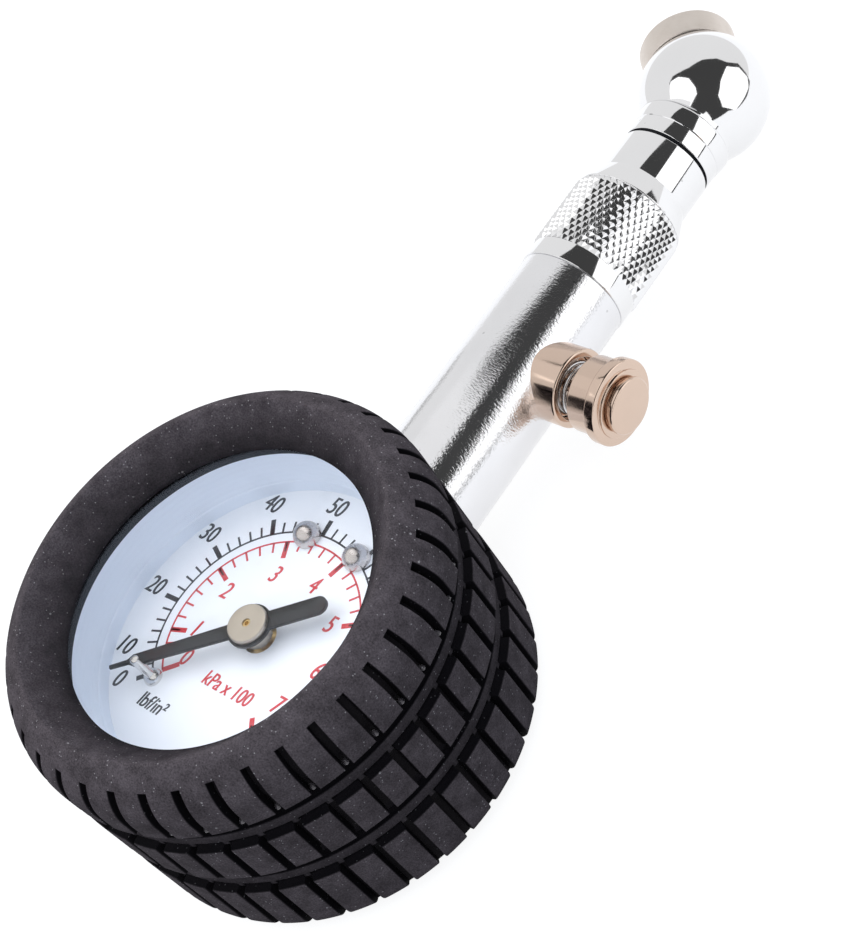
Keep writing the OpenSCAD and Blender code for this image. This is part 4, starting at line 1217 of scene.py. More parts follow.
@dataclass
class Printing:
    """The two scales, their numbers and their units."""

    face_z: float = 19.1
    thick: float = 0.03
    psi_zero: float = 223.5
    psi_origin: float = 241.0
    psi_turn: float = 2.9
    psi_first: int = 10
    psi_last: int = 100
    psi_short: int = 2
    psi_long: int = 10
    psi_r: float = 13.75
    psi_long_l: float = 2.1
    psi_long_w: float = 0.6
    psi_words_h: float = 2.4
    psi_words_r: float = 18.2
    crowded_from: int = 50
    crowded_r: float = 17.6
    kpa_turn: float = 42.06
    kpa_last: float = 7.0
    kpa_parts: int = 5
    kpa_ticks: int = 33
    kpa_r: float = 12.45
    kpa_short_l: float = 1.3
    kpa_long_l: float = 2.2
    kpa_long_w: float = 0.62
    kpa_words_h: float = 2.3
    unit_h: float = 1.9
    narrow: float = 0.74
    bold: float = 0.045
    layer: float = 0.004
    slant: float = 0.2
    cap_share: float = 0.73

    @property
    def middle_z(self) -> float:
        """Returns the height of the ink's middle."""
        return self.face_z + self.thick / 2

    def labels_black(self) -> list[Label]:
        """Returns the outer scale's numbers and unit."""
        nudge = {0: 220.9, 10: 206.8, 20: 181.3, 30: 153.6, 40: 126.2, 50: 97.2}
        made = []
        for psi in range(0, self.psi_last + 1, self.psi_long):
            turn = nudge.get(psi, self.psi_origin - self.psi_turn * psi)
            radius = self.psi_words_r if psi < self.crowded_from else self.crowded_r
            made.append(Label.polar(str(psi), turn, radius, self.psi_words_h))
        made.append(Label("lbf/in²", -7.1, -12.5, self.unit_h))
        return made

    def labels_red(self) -> list[Label]:
        """Returns the inner scale's numbers and unit."""
        spots = ((219.6, 9.5), (197.0, 9.1), (161.3, 8.9), (118.3, 8.1), (76.0, 8.2), (33.5, 8.7),
                 (-2.5, 9.6), (-36.3, 9.7))
        made = [Label.polar(str(k), turn, radius, self.kpa_words_h)
                for k, (turn, radius) in enumerate(spots)]
        made.append(Label("kPa x 100", 0.6, -6.85, self.unit_h))
        return made

    def lettering(self, name: str, labels: list[Label]) -> bpy.types.Mesh:
        """Sets labels in type and makes them one thin mesh.

        Each label is set three times, a little aside and a little higher each time, so
        that its strokes come out bold.

        Args:
            name: The mesh's name.
            labels: What is printed.

        Returns:
            The mesh in its place on the dial.
        """
        meshes = []
        for label in labels:
            curve = bpy.data.curves.new(name, "FONT")
            curve.body = label.words
            curve.size = label.height / self.cap_share
            curve.align_x, curve.align_y = "CENTER", "CENTER"
            curve.shear = self.slant
            curve.extrude = self.thick / 2
            curve.resolution_u = 5
            mesh = solved(new_object(name, curve))
            mesh.transform(Matrix.Diagonal((self.narrow, 1, 1, 1)))
            for step in (-1, 0, 1):
                lift = self.middle_z + step * self.layer
                shift = Matrix.Translation((label.x + step * self.bold, label.y, lift))
                stroke = mesh.copy()
                stroke.transform(TO_METRES @ shift)
                meshes.append(stroke)
        return joined(name, meshes)

    def ticks_black(self, recipe: Recipe) -> bpy.types.Mesh:
        """Returns the outer scale's arc and ticks."""
        last = self.psi_origin - self.psi_turn * self.psi_last
        axis = Axis((0.0, 0.0, self.middle_z), ALONG_Z)
        scale = recipe.make("scale_black", BLACK_INK, axis, {
            "Radius": self.psi_r, "First": math.radians(last), "Last": math.radians(self.psi_zero),
            "Step": math.radians(self.psi_turn * self.psi_short),
            "Ticks": (self.psi_last - self.psi_first) // self.psi_short + 2,
            "Long Every": self.psi_long // self.psi_short,
            "Long Length": self.psi_long_l, "Long Width": self.psi_long_w})
        zero = self.zero_tick("zero_black", self.psi_r, self.psi_long_l, self.psi_long_w)
        return joined("ticks_black", [scale, zero])

    def ticks_red(self, recipe: Recipe) -> bpy.types.Mesh:
        """Returns the inner scale's arc and ticks, which run inwards."""
        last = self.psi_origin - self.kpa_turn * self.kpa_last
        axis = Axis((0.0, 0.0, self.middle_z), ALONG_Z)
        scale = recipe.make("scale_red", RED_INK, axis, {
            "Radius": self.kpa_r, "First": math.radians(last), "Last": math.radians(self.psi_zero),
            "Step": math.radians(self.kpa_turn / self.kpa_parts),
            "Ticks": self.kpa_ticks, "Long Every": self.kpa_parts,
            "Short Length": -self.kpa_short_l, "Long Length": -self.kpa_long_l,
            "Long Width": self.kpa_long_w})
        zero = self.zero_tick("zero_red", self.kpa_r - self.kpa_long_l, self.kpa_long_l,
                              self.kpa_long_w)
        return joined("ticks_red", [scale, zero])

    def zero_tick(self, name: str, start: float, length: float, width: float) -> bpy.types.Mesh:
        """Returns the long tick at the scales' zero, which the even steps don't reach."""
        work = bmesh.new()
        bmesh.ops.create_cube(work, size=1.0)
        size = Matrix.Diagonal((length, width, self.thick, 1))
        out = Matrix.Translation((start + length / 2, 0, self.middle_z))
        turn = Matrix.Rotation(math.radians(self.psi_zero), 4, "Z")
        bmesh.ops.transform(work, matrix=TO_METRES @ turn @ out @ size, verts=work.verts)
        return new_mesh(name, work)

    def build(self) -> None:
        """Places both scales with their lettering."""
        recipe = scale_recipe()
        black = [self.ticks_black(recipe), self.lettering("words_black", self.labels_black())]
        red = [self.ticks_red(recipe), self.lettering("words_red", self.labels_red())]
        place("print_black", joined("print_black", black), BLACK_INK, Body.GAUGE)
        place("print_red", joined("print_red", red), RED_INK, Body.GAUGE)


@dataclass
class Dial:
    """What lies inside the lens: rim, gasket, plate, screws and stop pin."""

    face_z: float = 19.1
    inner_r: float = 20.6
    rim_foot: float = 1.1
    rim_top: float = 26.0
    rim_step_h: float = 1.8
    rim_step_w: float = 0.15
    rim_edge: float = 0.5
    ridges: int = 5
    ridge_in: float = 0.03
    ridge_out: float = 0.04
    ridge_h: float = 0.12
    gasket_w: float = 0.7
    gasket_t: float = 1.4
    lens_t: float = 1.3
    lens_r: float = 20.5
    dome_r: float = 1.68
    dome_h: float = 1.2
    dome_top: float = 0.02
    shank_r: float = 0.8
    shank_l: float = 3.6
    screw_gap: float = 8.1
    screw_x: float = 1.0
    screw_y: float = 12.9
    pin_at: float = 13.6
    pin_turn: float = 226.2
    pin_r: float = 0.55
    pin_h: float = 4.4
    pin_root: float = 0.6
    pin_foot: float = 1.15
    pin_foot_top: float = 0.98

    def rim(self) -> bpy.types.Mesh:
        """Returns the white rim, with shallow ridges up its slope."""
        foot = self.inner_r - self.rim_foot
        step = self.face_z + self.rim_step_h
        low = Corner(foot + 2 * self.rim_step_w, step)
        top = Corner(self.inner_r - self.rim_edge, self.rim_top)
        corners = [Corner(foot, self.face_z),
                   Corner(foot + self.rim_step_w, step - self.rim_step_w, 0.3), low]
        for k in range(1, self.ridges + 1):
            share = k / (self.ridges + 1)
            r, h = low.r + share * (top.r - low.r), low.h + share * (top.h - low.h)
            corners += [Corner(r - self.ridge_in, h - self.ridge_h),
                        Corner(r + self.ridge_out, h, 0.05)]
        corners += [top, Corner(self.inner_r, self.rim_top), Corner(self.inner_r, self.face_z)]
        return lathe("rim", corners, DIAL_AXIS, closed=True, facets=Facets.LARGE)

    def gasket(self) -> bpy.types.Mesh:
        """Returns the black gasket between rim and lens."""
        low, high = self.rim_top, self.rim_top + self.gasket_t
        inner = self.inner_r - self.gasket_w
        corners = [Corner(inner, low, 0.15), Corner(inner, high, 0.15),
                   Corner(self.inner_r, high), Corner(self.inner_r, low)]
        return lathe("gasket", corners, DIAL_AXIS, closed=True, facets=Facets.LARGE)

    def window(self) -> bpy.types.Mesh:
        """Returns the flat lens with a ground edge."""
        low = self.rim_top + self.gasket_t
        high = low + self.lens_t
        corners = [Corner(0, low), Corner(self.lens_r, low, 0.1), Corner(self.lens_r, high, 0.2),
                   Corner(0, high)]
        return lathe("window", corners, DIAL_AXIS, facets=Facets.LARGE)

    def screws(self) -> bpy.types.Mesh:
        """Returns the two domed screws."""
        top = self.face_z + self.dome_h * self.dome_r
        centre = top - self.dome_r
        start = -math.asin((centre - self.face_z) / self.dome_r)
        turns = np.linspace(start, QUARTER_TURN - self.dome_top, 20)
        end = self.face_z - self.shank_l
        outline = [Corner(0, end), Corner(self.shank_r, end), Corner(self.shank_r, self.face_z),
                   *corners_at(arc(self.dome_r, turns, 0.0, centre)), Corner(0, top)]
        meshes = []
        for side in (-0.5, 0.5):
            axis = Axis((self.screw_x + side * self.screw_gap, self.screw_y, 0.0), ALONG_Z)
            meshes.append(lathe("screw", outline, axis, facets=Facets.SCREW))
        return joined("screws", meshes)

    def stop_pin(self) -> bpy.types.Mesh:
        """Returns the stop pin on its domed foot."""
        spot = arc(self.pin_at, [math.radians(self.pin_turn)])[0]
        foot = corners_at(arc(self.pin_foot, np.linspace(0, 1.0, 8)))
        corners = [Corner(0, -self.pin_root), Corner(self.pin_r, -self.pin_root),
                   Corner(self.pin_r, 0.0), *foot, Corner(self.pin_r, self.pin_foot_top, 0.1),
                   Corner(self.pin_r, self.pin_h, 0.25), Corner(0, self.pin_h)]
        return lathe("stop_pin", corners, Axis((*spot, self.face_z), ALONG_Z), facets=Facets.PIN)

    def build(self) -> None:
        """Places the dial's pieces and dresses its plate."""
        # the white rim gets its enamel with painted shade
        place("rim", self.rim(), SHADED_RIM_ENAMEL, Body.GAUGE, ["dial_rim"])
        place("gasket", self.gasket(), SEAL_RUBBER, Body.GAUGE, ["lens_gasket"])
        place("window", self.window(), WINDOW, Body.GAUGE, ["lens"])
        place("screws", self.screws(), SCREW_STEEL, Body.GAUGE, ["dial_screws"])
        place("stop_peg", self.stop_pin(), STEEL, Body.GAUGE, ["stop_pin"])
        dress_node("dial_plate", ENAMEL)


@dataclass
class Needle:
    """The pointer, its disc and its bush."""

    under_z: float = 21.25
    thick: float = 0.5
    rest: float = 220.84
    eye_r: float = 2.75
    blade_l: float = 14.8
    blade_half: float = 0.72
    root_share: float = 1.3
    tip_l: float = 17.9
    tip_half: float = 0.25
    tip_share: float = 0.8
    tail_l: float = 9.6
    tail_half: float = 1.15
    softened: float = 0.07
    disc_r: float = 2.45
    hole_r: float = 0.5
    disc_t: float = 0.6
    cover_share: float = 0.75
    bush_r: float = 1.7
    bush_z: float = 19.2
    arbor_r: float = 0.8

    def outline(self) -> list[Pair]:
        """Returns the pointer's outline, counter-clockwise, pointing along +X."""
        root = self.root_share * self.blade_half
        join = math.asin(root / self.eye_r)
        points = [(self.eye_r * math.cos(join), -root), (self.blade_l, -self.blade_half),
                  (self.blade_l + self.blade_half, -self.tip_half),
                  (self.tip_l, -self.tip_share * self.tip_half)]
        points += [(x, -y) for x, y in reversed(points)]
        tail_join = math.asin(self.tail_half / self.eye_r)
        points += arc(self.eye_r, np.linspace(join, HALF_TURN - tail_join, 22)[1:])
        end = -(self.tail_l - self.tail_half)
        points += arc(self.tail_half, np.linspace(QUARTER_TURN, 3 * QUARTER_TURN, 18), end)
        points += arc(self.eye_r, np.linspace(HALF_TURN + tail_join, FULL_TURN - join, 22)[:-1])
        return points

    def blade(self) -> bpy.types.Mesh:
        """Returns the pointer as a stamped plate with softened edges."""
        work = bmesh.new()
        floor = [work.verts.new((x, y, 0.0)) for x, y in self.outline()]
        face = work.faces.new(floor)
        raised = bmesh.ops.extrude_face_region(work, geom=[face])
        top = [v for v in raised["geom"] if isinstance(v, bmesh.types.BMVert)]
        bmesh.ops.translate(work, verts=top, vec=(0, 0, self.thick))
        bmesh.ops.recalc_face_normals(work, faces=work.faces)
        rims = [e for e in work.edges if abs(e.verts[0].co.z - e.verts[1].co.z) < TINY]
        bmesh.ops.bevel(work, geom=rims, offset=self.softened, segments=2, affect="EDGES")
        turn = Matrix.Rotation(math.radians(self.rest), 4, "Z")
        lift = Matrix.Translation((0, 0, self.under_z))
        bmesh.ops.transform(work, matrix=TO_METRES @ lift @ turn, verts=work.verts)
        bmesh.ops.triangulate(work, faces=work.faces)
        return finish_mesh(new_mesh("needle", work), sharp=30.0)

    def disc(self) -> bpy.types.Mesh:
        """Returns the disc over the eye and the bush under it."""
        low = self.under_z + self.thick
        high = low + self.disc_t
        cover = low + self.cover_share * self.disc_t
        disc = [Corner(self.arbor_r, low), Corner(self.disc_r, low),
                Corner(self.disc_r, high, 0.22), Corner(self.hole_r, high, 0.08),
                Corner(self.hole_r, cover), Corner(self.arbor_r, cover)]
        bush = [Corner(self.arbor_r, self.bush_z), Corner(self.bush_r, self.bush_z, 0.1),
                Corner(self.bush_r, self.under_z), Corner(self.arbor_r, self.under_z)]
        return joined("disc", [
            lathe("disc", disc, DIAL_AXIS, closed=True, facets=Facets.DISC),
            lathe("bush", bush, DIAL_AXIS, closed=True, facets=Facets.BUSH)])

    def build(self) -> None:
        """Places the pointer's pieces and dresses its arbor."""
        place("needle", self.blade(), POINTER_BLACK, Body.POINTER, ["pointer"])
        place("needle_disc", self.disc(), DISC_NICKEL, Body.POINTER, ["pointer_disc"])
        dress_node("pointer_arbor", BRASS)


# ---------------------------------------------------------------- stem and collar


@dataclass
class Stem:
    """The chromed stem and the knurled collar."""

    root_y: float = 20.4
    root_r: float = 7.5
    case_y: float = 19.35
    tip_r: float = 7.2
    end_y: float = 58.4
    passage_r: float = 2.0
    band_l: float = 2.6
    band_r: float = 7.35
    knurl_l: float = 10.3
    knurl_root_r: float = 7.28
    knurl_step: float = 0.1
    knurl_height: float = 0.34
    knurl_around: int = 48
    knurl_row: float = 0.82
    knurl_margin: float = 0.2
    knurl_sink: float = 0.02
    knurl_flat: float = 0.16
    taper_l: float = 3.3
    taper_rise: float = 0.15
    neck_r: float = 6.15
    neck_l: float = 5.5
    seat_r: float = 4.05
    seat_l: float = 1.0
    hairline: float = 0.12

    def radius_at(self, y: float) -> float:
        """Returns the tapered stem's radius at a place along it."""
        share = (y - self.case_y) / (self.end_y - self.case_y)
        return self.root_r + share * (self.tip_r - self.root_r)

    def tube(self) -> bpy.types.Mesh:
        """Returns the stem, with its end softened beside the collar."""
        corners = [Corner(self.passage_r, self.root_y),
                   Corner(self.radius_at(self.root_y), self.root_y),
                   Corner(self.radius_at(self.end_y), self.end_y, self.hairline),
                   Corner(self.passage_r, self.end_y)]
        return lathe("stem", corners, STEM_AXIS, closed=True, facets=Facets.LARGE)

    def collar(self) -> bpy.types.Mesh:
        """Returns the collar's turned shape, without its knurl."""
        knurl = self.end_y + self.band_l
        knurl_end = knurl + self.knurl_l
        neck = knurl_end + self.taper_l
        end = neck + self.neck_l
        seat = end - self.seat_l
        corners = [Corner(self.passage_r, self.end_y),
                   Corner(self.band_r, self.end_y, self.hairline), Corner(self.band_r, knurl, 0.1),
                   Corner(self.knurl_root_r, knurl + self.knurl_step),
                   Corner(self.knurl_root_r, knurl_end),
                   Corner(self.band_r + self.taper_rise, knurl_end, 0.12),
                   Corner(self.neck_r, neck, 0.3), Corner(self.neck_r, end, self.hairline),
                   Corner(self.seat_r, end), Corner(self.seat_r, seat),
                   Corner(self.passage_r, seat)]
        return lathe("collar", corners, STEM_AXIS, closed=True, facets=Facets.LARGE)

    def knurl(self) -> bpy.types.Mesh:
        """Returns the studs of the diamond knurl."""
        rows = int((self.knurl_l - self.knurl_margin) / self.knurl_row)
        start = self.end_y + self.band_l + (self.knurl_l - (rows - 1) * self.knurl_row) / 2
        return knurl_recipe().make("knurl", BALL_CHROME, STEM_AXIS, {
            "Radius": self.knurl_root_r - self.knurl_sink, "Around": self.knurl_around,
            "Rows": rows, "Row Step": self.knurl_row, "Start": start,
            "Height": self.knurl_height, "Flat": self.knurl_flat}, sharp=20.0)

    def build(self) -> None:
        """Places the stem, the collar and its knurl."""
        place("stem", self.tube(), CHROME, Body.GAUGE, ["stem_tube"])
        place("collar", self.collar(), BALL_CHROME, Body.GAUGE, ["knurled_collar"])
        place("knurl", self.knurl(), BALL_CHROME, Body.GAUGE)


# ---------------------------------------------------------------- ball chuck


@dataclass
class Chuck:
    """The ball, its collar, the mouth's cap and what lies in it."""

    head_y: float = 80.55
    ring_y: float = 80.15
    ring_t: float = 0.4
    ring_inner_r: float = 4.0
    ring_inset: float = 0.1
    neck_r: float = 6.15
    collar_l: float = 2.25
    seam_w: float = 0.08
    seam_depth: float = 0.06
    flare_l: float = 2.4
    flare_r: float = 6.45
    flare_edge: float = 0.14
    bulge_gap: float = 0.3
    root_r: float = 5.95
    root_inset: float = 0.1
    root_reach: float = 4.0
    ball_r: float = 8.6
    ball_y: float = 91.40947
    ball_shift: float = 1.0
    tilt: float = 45.0
    turn: float = 175.0
    cap_r: float = 6.35
    cap_inset: float = 0.5
    cap_seam: float = 0.2
    flat_inset: float = 0.1
    mouth_lift: float = 1.5
    mouth_r: float = 4.1
    mouth_depth: float = 3.2
    seal_r: float = 3.8
    seal_t: float = 1.9
    well_r: float = 3.4
    well_gap: float = 0.7
    thread_r: float = 5.2
    thread_l: float = 3.4
    spigot_r: float = 4.0
    spigot_l: float = 15.2
    spring_r: float = 2.3
    spring_wire: float = 0.22
    spring_turns: float = 4.0
    spring_low: float = -0.52
    spring_high: float = 3.78
    spring_travel: float = 1.2

    def mouth_axis(self) -> Axis:
        """Returns the mouth's axis, which starts at the ball's middle."""
        tilt, turn = math.radians(self.tilt), math.radians(self.turn)
        middle = (self.ball_shift * math.cos(turn), self.ball_y,
                  STEM_Z + self.ball_shift * math.sin(turn))
        return Axis(middle, (math.sin(tilt) * math.cos(turn), math.cos(tilt),
                             math.sin(tilt) * math.sin(turn)))

    def flat(self) -> float:
        """Returns how far the ball's flat lies from its middle."""
        return math.sqrt(self.ball_r ** 2 - (self.cap_r - self.flat_inset) ** 2)

    def ball(self) -> bpy.types.Mesh:
        """Returns the ball with its flat and well, and its collar and spigot."""
        flat, well = self.flat(), self.spring_low
        thread_end = flat - self.thread_l
        pole = 0.01
        turns = np.linspace(math.asin(flat / self.ball_r), -QUARTER_TURN + pole, 90)
        inner = self.spring_r + self.well_gap
        corners = [Corner(0, well), Corner(inner, well), Corner(inner, thread_end),
                   Corner(self.thread_r, thread_end), Corner(self.thread_r, flat),
                   *corners_at(arc(self.ball_r, turns)), Corner(0, -self.ball_r)]
        ball = lathe("ball", corners, self.mouth_axis(), facets=Facets.LARGE)
        return joined("ball", [ball, self.neck()])

    def neck(self) -> bpy.types.Mesh:
        """Returns the ball's collar, the bulging flare above it and the spigot."""
        spigot = self.head_y - self.spigot_l
        flare = self.head_y + self.collar_l
        end = flare + self.flare_l
        root_end = self.ball_y - self.root_reach
        seam_r, root = self.neck_r - self.seam_depth, self.root_r - self.root_inset
        bulge_r = self.neck_r + self.seam_depth
        spread = self.flare_r - self.neck_r - self.seam_depth
        rise = self.flare_l - self.bulge_gap
        bulge = [Corner(bulge_r + spread * math.sin(t),
                        flare + self.seam_w + rise * t / QUARTER_TURN)
                 for t in np.linspace(0.0, QUARTER_TURN, 12)]
        corners = [Corner(0, spigot), Corner(self.spigot_r, spigot, 0.2),
                   Corner(self.spigot_r, self.head_y), Corner(self.neck_r, self.head_y, 0.12),
                   Corner(self.neck_r, flare - self.seam_w), Corner(seam_r, flare), *bulge,
                   Corner(self.flare_r - self.flare_edge, end), Corner(root, end),
                   Corner(root, root_end), Corner(0, root_end)]
        return lathe("ball_neck", corners, STEM_AXIS, facets=Facets.LARGE)

    def ring(self) -> bpy.types.Mesh:
        """Returns the black ring between neck and ball."""
        high = self.ring_y + self.ring_t
        inner, outer = self.ring_inner_r, self.neck_r - self.ring_inset
        corners = [Corner(inner, self.ring_y), Corner(outer, self.ring_y, 0.08),
                   Corner(outer, high, 0.08), Corner(inner, high)]
        return lathe("ring", corners, STEM_AXIS, closed=True, facets=Facets.MEDIUM)

    def cap(self) -> bpy.types.Mesh:
        """Returns the mouth's cap with its stepped bore."""
        flat = self.flat()
        thread_end = flat - self.thread_l
        body, end = flat + self.cap_seam, self.ball_r + self.mouth_lift
        seal_front = end - self.mouth_depth
        seal_back = seal_front - self.seal_t
        waist = self.cap_r - self.cap_inset
        corners = [Corner(self.well_r, thread_end), Corner(self.thread_r, thread_end),
                   Corner(self.thread_r, flat), Corner(waist, flat), Corner(waist, body),
                   Corner(self.cap_r, body, 0.15), Corner(self.cap_r, end, 0.35),
                   Corner(self.mouth_r, end, 0.25), Corner(self.mouth_r, seal_front),
                   Corner(self.seal_r, seal_front), Corner(self.seal_r, seal_back),
                   Corner(self.well_r, seal_back)]
        return lathe("cap", corners, self.mouth_axis(), closed=True, facets=Facets.MEDIUM)

    def spring(self) -> bpy.types.Mesh:
        """Returns the check valve's spring."""
        axis = self.mouth_axis()
        low = self.spring_low + self.spring_wire
        axis = Axis(tuple(axis.at(low)), axis.direction)
        return coil_recipe().make("valve_spring", SPRING_WIRE, axis, {
            "Radius": self.spring_r, "Turns": self.spring_turns, "Wire": self.spring_wire,
            "Height": self.spring_high - self.spring_wire - low})

    def build(self) -> None:
        """Places the chuck's pieces and dresses the ones it keeps."""
        place("ball", self.ball(), BALL_CHROME, Body.CHUCK, ["ball_head"])
        place("neck_ring", self.ring(), SEAL_RUBBER, Body.CHUCK, ["swivel_ring"])
        place("mouth_cap", self.cap(), SATIN_NICKEL, Body.CHUCK, ["chuck_cap"])
        coil = place("valve_spring", self.spring(), SPRING_WIRE, Body.CHUCK, ["check_spring"])
        axis = self.mouth_axis()
        foot = axis.at(self.spring_low)
        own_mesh(coil)
        dress_node("chuck_seal", SEAL_RUBBER)
        dress_node("swivel_seal", SEAL_RUBBER)
        dress_node("swivel_clip", STEEL)
        dress_node("check_valve", BRASS)


# ---------------------------------------------------------------- bleed valve


@dataclass
class BleedValve:
    """The bleed valve on the stem's side, with its spring-loaded head."""

    body_in: float = 1.6
    body_r: float = 4.9
    body_end: float = 9.9
    root_r: float = 3.0
    root_end: float = 5.0
    well_r: float = 3.9
    well_floor: float = 8.1
    rod_r: float = 0.7
    rod_gap: float = 0.05
    plug_r: float = 1.3
    plug_in: float = 0.3
    plug_end: float = 1.08
    head_in: float = 11.65
    band_r: float = 4.7
    band_l: float = 3.05
    flange_r: float = 5.3
    flange_l: float = 1.5
    step_r: float = 4.2
    step_l: float = 0.35
    neck_r: float = 3.1
    button_r: float = 3.5
    button_h: float = 1.4
    button_t: float = 0.7
    spring_r: float = 3.1
    wire: float = 0.3
    turns: float = 3.0
    travel: float = 1.4

    def body(self) -> bpy.types.Mesh:
        """Returns the valve's body with its hollow."""
        bore = self.rod_r + self.rod_gap
        corners = [Corner(bore, self.body_in), Corner(self.root_r, self.body_in),
                   Corner(self.root_r, self.root_end), Corner(self.body_r, self.root_end),
                   Corner(self.body_r, self.body_end, 0.35),
                   Corner(self.well_r, self.body_end, 0.2),
                   Corner(self.well_r, self.well_floor, 0.2), Corner(bore, self.well_floor)]
        return lathe("bleed_body", corners, BLEED_AXIS, closed=True, facets=Facets.MEDIUM)

    def head(self) -> bpy.types.Mesh:
        """Returns the head: band, flange and step."""
        flange = self.head_in + self.band_l
        out = flange + self.flange_l
        step = out + self.step_l
        corners = [Corner(self.rod_r, self.head_in), Corner(self.band_r, self.head_in, 0.25),
                   Corner(self.band_r, flange, 0.12), Corner(self.flange_r, flange, 0.2),
                   Corner(self.flange_r, out, 0.28), Corner(self.step_r, out, 0.1),
                   Corner(self.step_r, step, 0.12), Corner(self.rod_r, step)]
        return lathe("bleed_head", corners, BLEED_AXIS, closed=True, facets=Facets.MEDIUM)

    def button(self) -> bpy.types.Mesh:
        """Returns the button's face with its neck, rod and plug."""
        neck = self.head_in + self.band_l + self.flange_l + self.step_l
        out = neck - self.step_l + self.button_h
        under = out - self.button_t
        corners = [Corner(0, self.plug_in), Corner(self.plug_r, self.plug_in),
                   Corner(self.plug_r, self.plug_end), Corner(self.rod_r, self.plug_end),
                   Corner(self.rod_r, neck), Corner(self.neck_r, neck),
                   Corner(self.neck_r, under, 0.1), Corner(self.button_r, under, 0.12),
                   Corner(self.button_r, out, 0.3), Corner(0, out)]
        return lathe("bleed_button", corners, BLEED_AXIS, facets=Facets.MEDIUM)

    def spring(self) -> bpy.types.Mesh:
        """Returns the valve's spring."""
        low = self.well_floor + self.wire
        axis = Axis(tuple(BLEED_AXIS.at(low)), ALONG_X)
        return coil_recipe().make("bleed_coil", SPRING_WIRE, axis, {
            "Radius": self.spring_r, "Turns": self.turns, "Wire": self.wire,
            "Height": self.head_in - self.wire - low})

    def build(self) -> None:
        """Places the valve's pieces and dresses its seal."""
        place("valve_body", self.body(), WARM_NICKEL, Body.GAUGE, ["bleed_body"])
        place("valve_head", self.head(), WARM_NICKEL, Body.BLEED, ["bleed_head"])
        place("valve_button", self.button(), WARM_NICKEL, Body.BLEED, ["bleed_button"])
        coil = place("valve_coil", self.spring(), SPRING_WIRE, Body.GAUGE, ["bleed_spring"])
        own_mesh(coil)
        dress_node("bleed_seal", SEAL_RUBBER)


# ---------------------------------------------------------------- movement


@dataclass
class Movement:
    """The pressure movement and its case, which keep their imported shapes."""

    brass: tuple[str, ...] = ("sector_gear", "lower_plate", "upper_plate", "movement_pillars",
                              "bourdon_tube", "bourdon_tip", "socket_block")
    steel: tuple[str, ...] = ("link_bar", "movement_screws", "hairspring")
    case: str = "case_shell"

    def build(self) -> None:
        """Gives every node of the movement its finish."""
        for node in self.brass:
            dress_node(node, BRASS)
        for node in self.steel:
            dress_node(node, STEEL)
        dress_node(self.case, CASE_PAINT)


# ---------------------------------------------------------------- studio


@dataclass(frozen=True)
class Card:
    """A studio card that only reflections show, bent round a point.

    Each outline point is an angle from +X towards +Z and a rise towards +Y, in degrees.
    """

    name: str
    level: float
    distance: float
    outline: tuple[Pair, ...]
    centre: Point = (0.0, 91.4, 10.4)
    cuts: int = 7

    def spot(self, turn: float, rise: float) -> Vector:
        """Returns where a point of the outline lies, in millimetres."""
        turn, rise = math.radians(turn), math.radians(rise)
        out = math.cos(rise)
        way = Vector((math.cos(turn) * out, math.sin(rise), math.sin(turn) * out))
        return Vector(self.centre) + way * self.distance

    def build(self) -> None:
        """Places the card."""
        work = bmesh.new()
        work.faces.new([work.verts.new((turn, rise, 0.0)) for turn, rise in self.outline])
        bmesh.ops.triangulate(work, faces=work.faces)
        bmesh.ops.subdivide_edges(work, edges=work.edges, cuts=self.cuts, use_grid_fill=True)
        for vert in work.verts:
            vert.co = self.spot(vert.co.x, vert.co.y) * MM
        card = new_object(self.name, new_mesh(self.name, work))
        material = blank_material(self.name)
        nodes = Nodes(material.node_tree)
        glow = nodes.add("ShaderNodeEmission", {"Strength": self.level})
        nodes.add("ShaderNodeOutputMaterial", {"Surface": glow.outputs[0]})
        card.data.materials.append(material)
        card.visible_camera = card.visible_diffuse = card.visible_transmission = False
        card.visible_shadow = card.visible_volume_scatter = False


@dataclass(frozen=True)
class Strip(Card):
    """A card bent round the stem. Its outline has angles and places along the stem."""

    def spot(self, turn: float, along: float) -> Vector:
        """Returns where a point of the outline lies, in millimetres."""
        turn = math.radians(turn)
        x, z = arc(self.distance, [turn], 0.0, STEM_Z)[0]
        return Vector((x, along, z))


CARDS = (
    Card("dark_card", 0.055, 96.0, (
        (122, -22), (118, -12), (108, -5), (98, 4), (93, 14), (88, 24), (72, 38), (54, 43),
        (35, 55), (10, 50), (-2, 44), (-6, 27), (-8, 5), (-4, -5), (2, -15), (2, -50), (40, -62),
        (66, -60), (100, -50))),
    Card("near_box", 1.5, 93.0, (
        (50, 36), (30, 49), (6, 46), (-2, 35), (-5, -5), (14, -19), (33, -12), (38, -2), (44, 8),
        (47, 20))),
    Card("far_box", 1.5, 93.0, (
        (120, -20), (108, -13), (90, -12), (72, -22), (65, -30), (66, -60), (120, -55))),
    Strip("stem_box", 1.3, 38.0, ((29, 26), (29, 56), (8, 56), (8, 26))),
    Strip("edge_line", 0.3, 38.0, ((167.5, 8), (167.5, 56), (162.5, 56), (162.5, 8))),
    Strip("stem_card", 0.95, 38.0, ((125, 34), (125, 54), (68, 54), (68, 14))),
)


@dataclass(frozen=True)
class Lamp:
    """A broad, soft lamp that metal doesn't mirror."""

    name: str
    energy: float
    source: Point
    spread: float
    colour: Colour

    def build(self) -> None:
        """Places the lamp."""
        data = bpy.data.lights.new(self.name, "SUN")
        data.energy = self.energy
        data.angle = math.radians(self.spread)
        data.color = self.colour
        lamp = new_object(self.name, data)
        lamp.rotation_mode = "QUATERNION"
        lamp.rotation_quaternion = Vector(self.source).to_track_quat("Z", "Y")
        lamp.visible_glossy = False


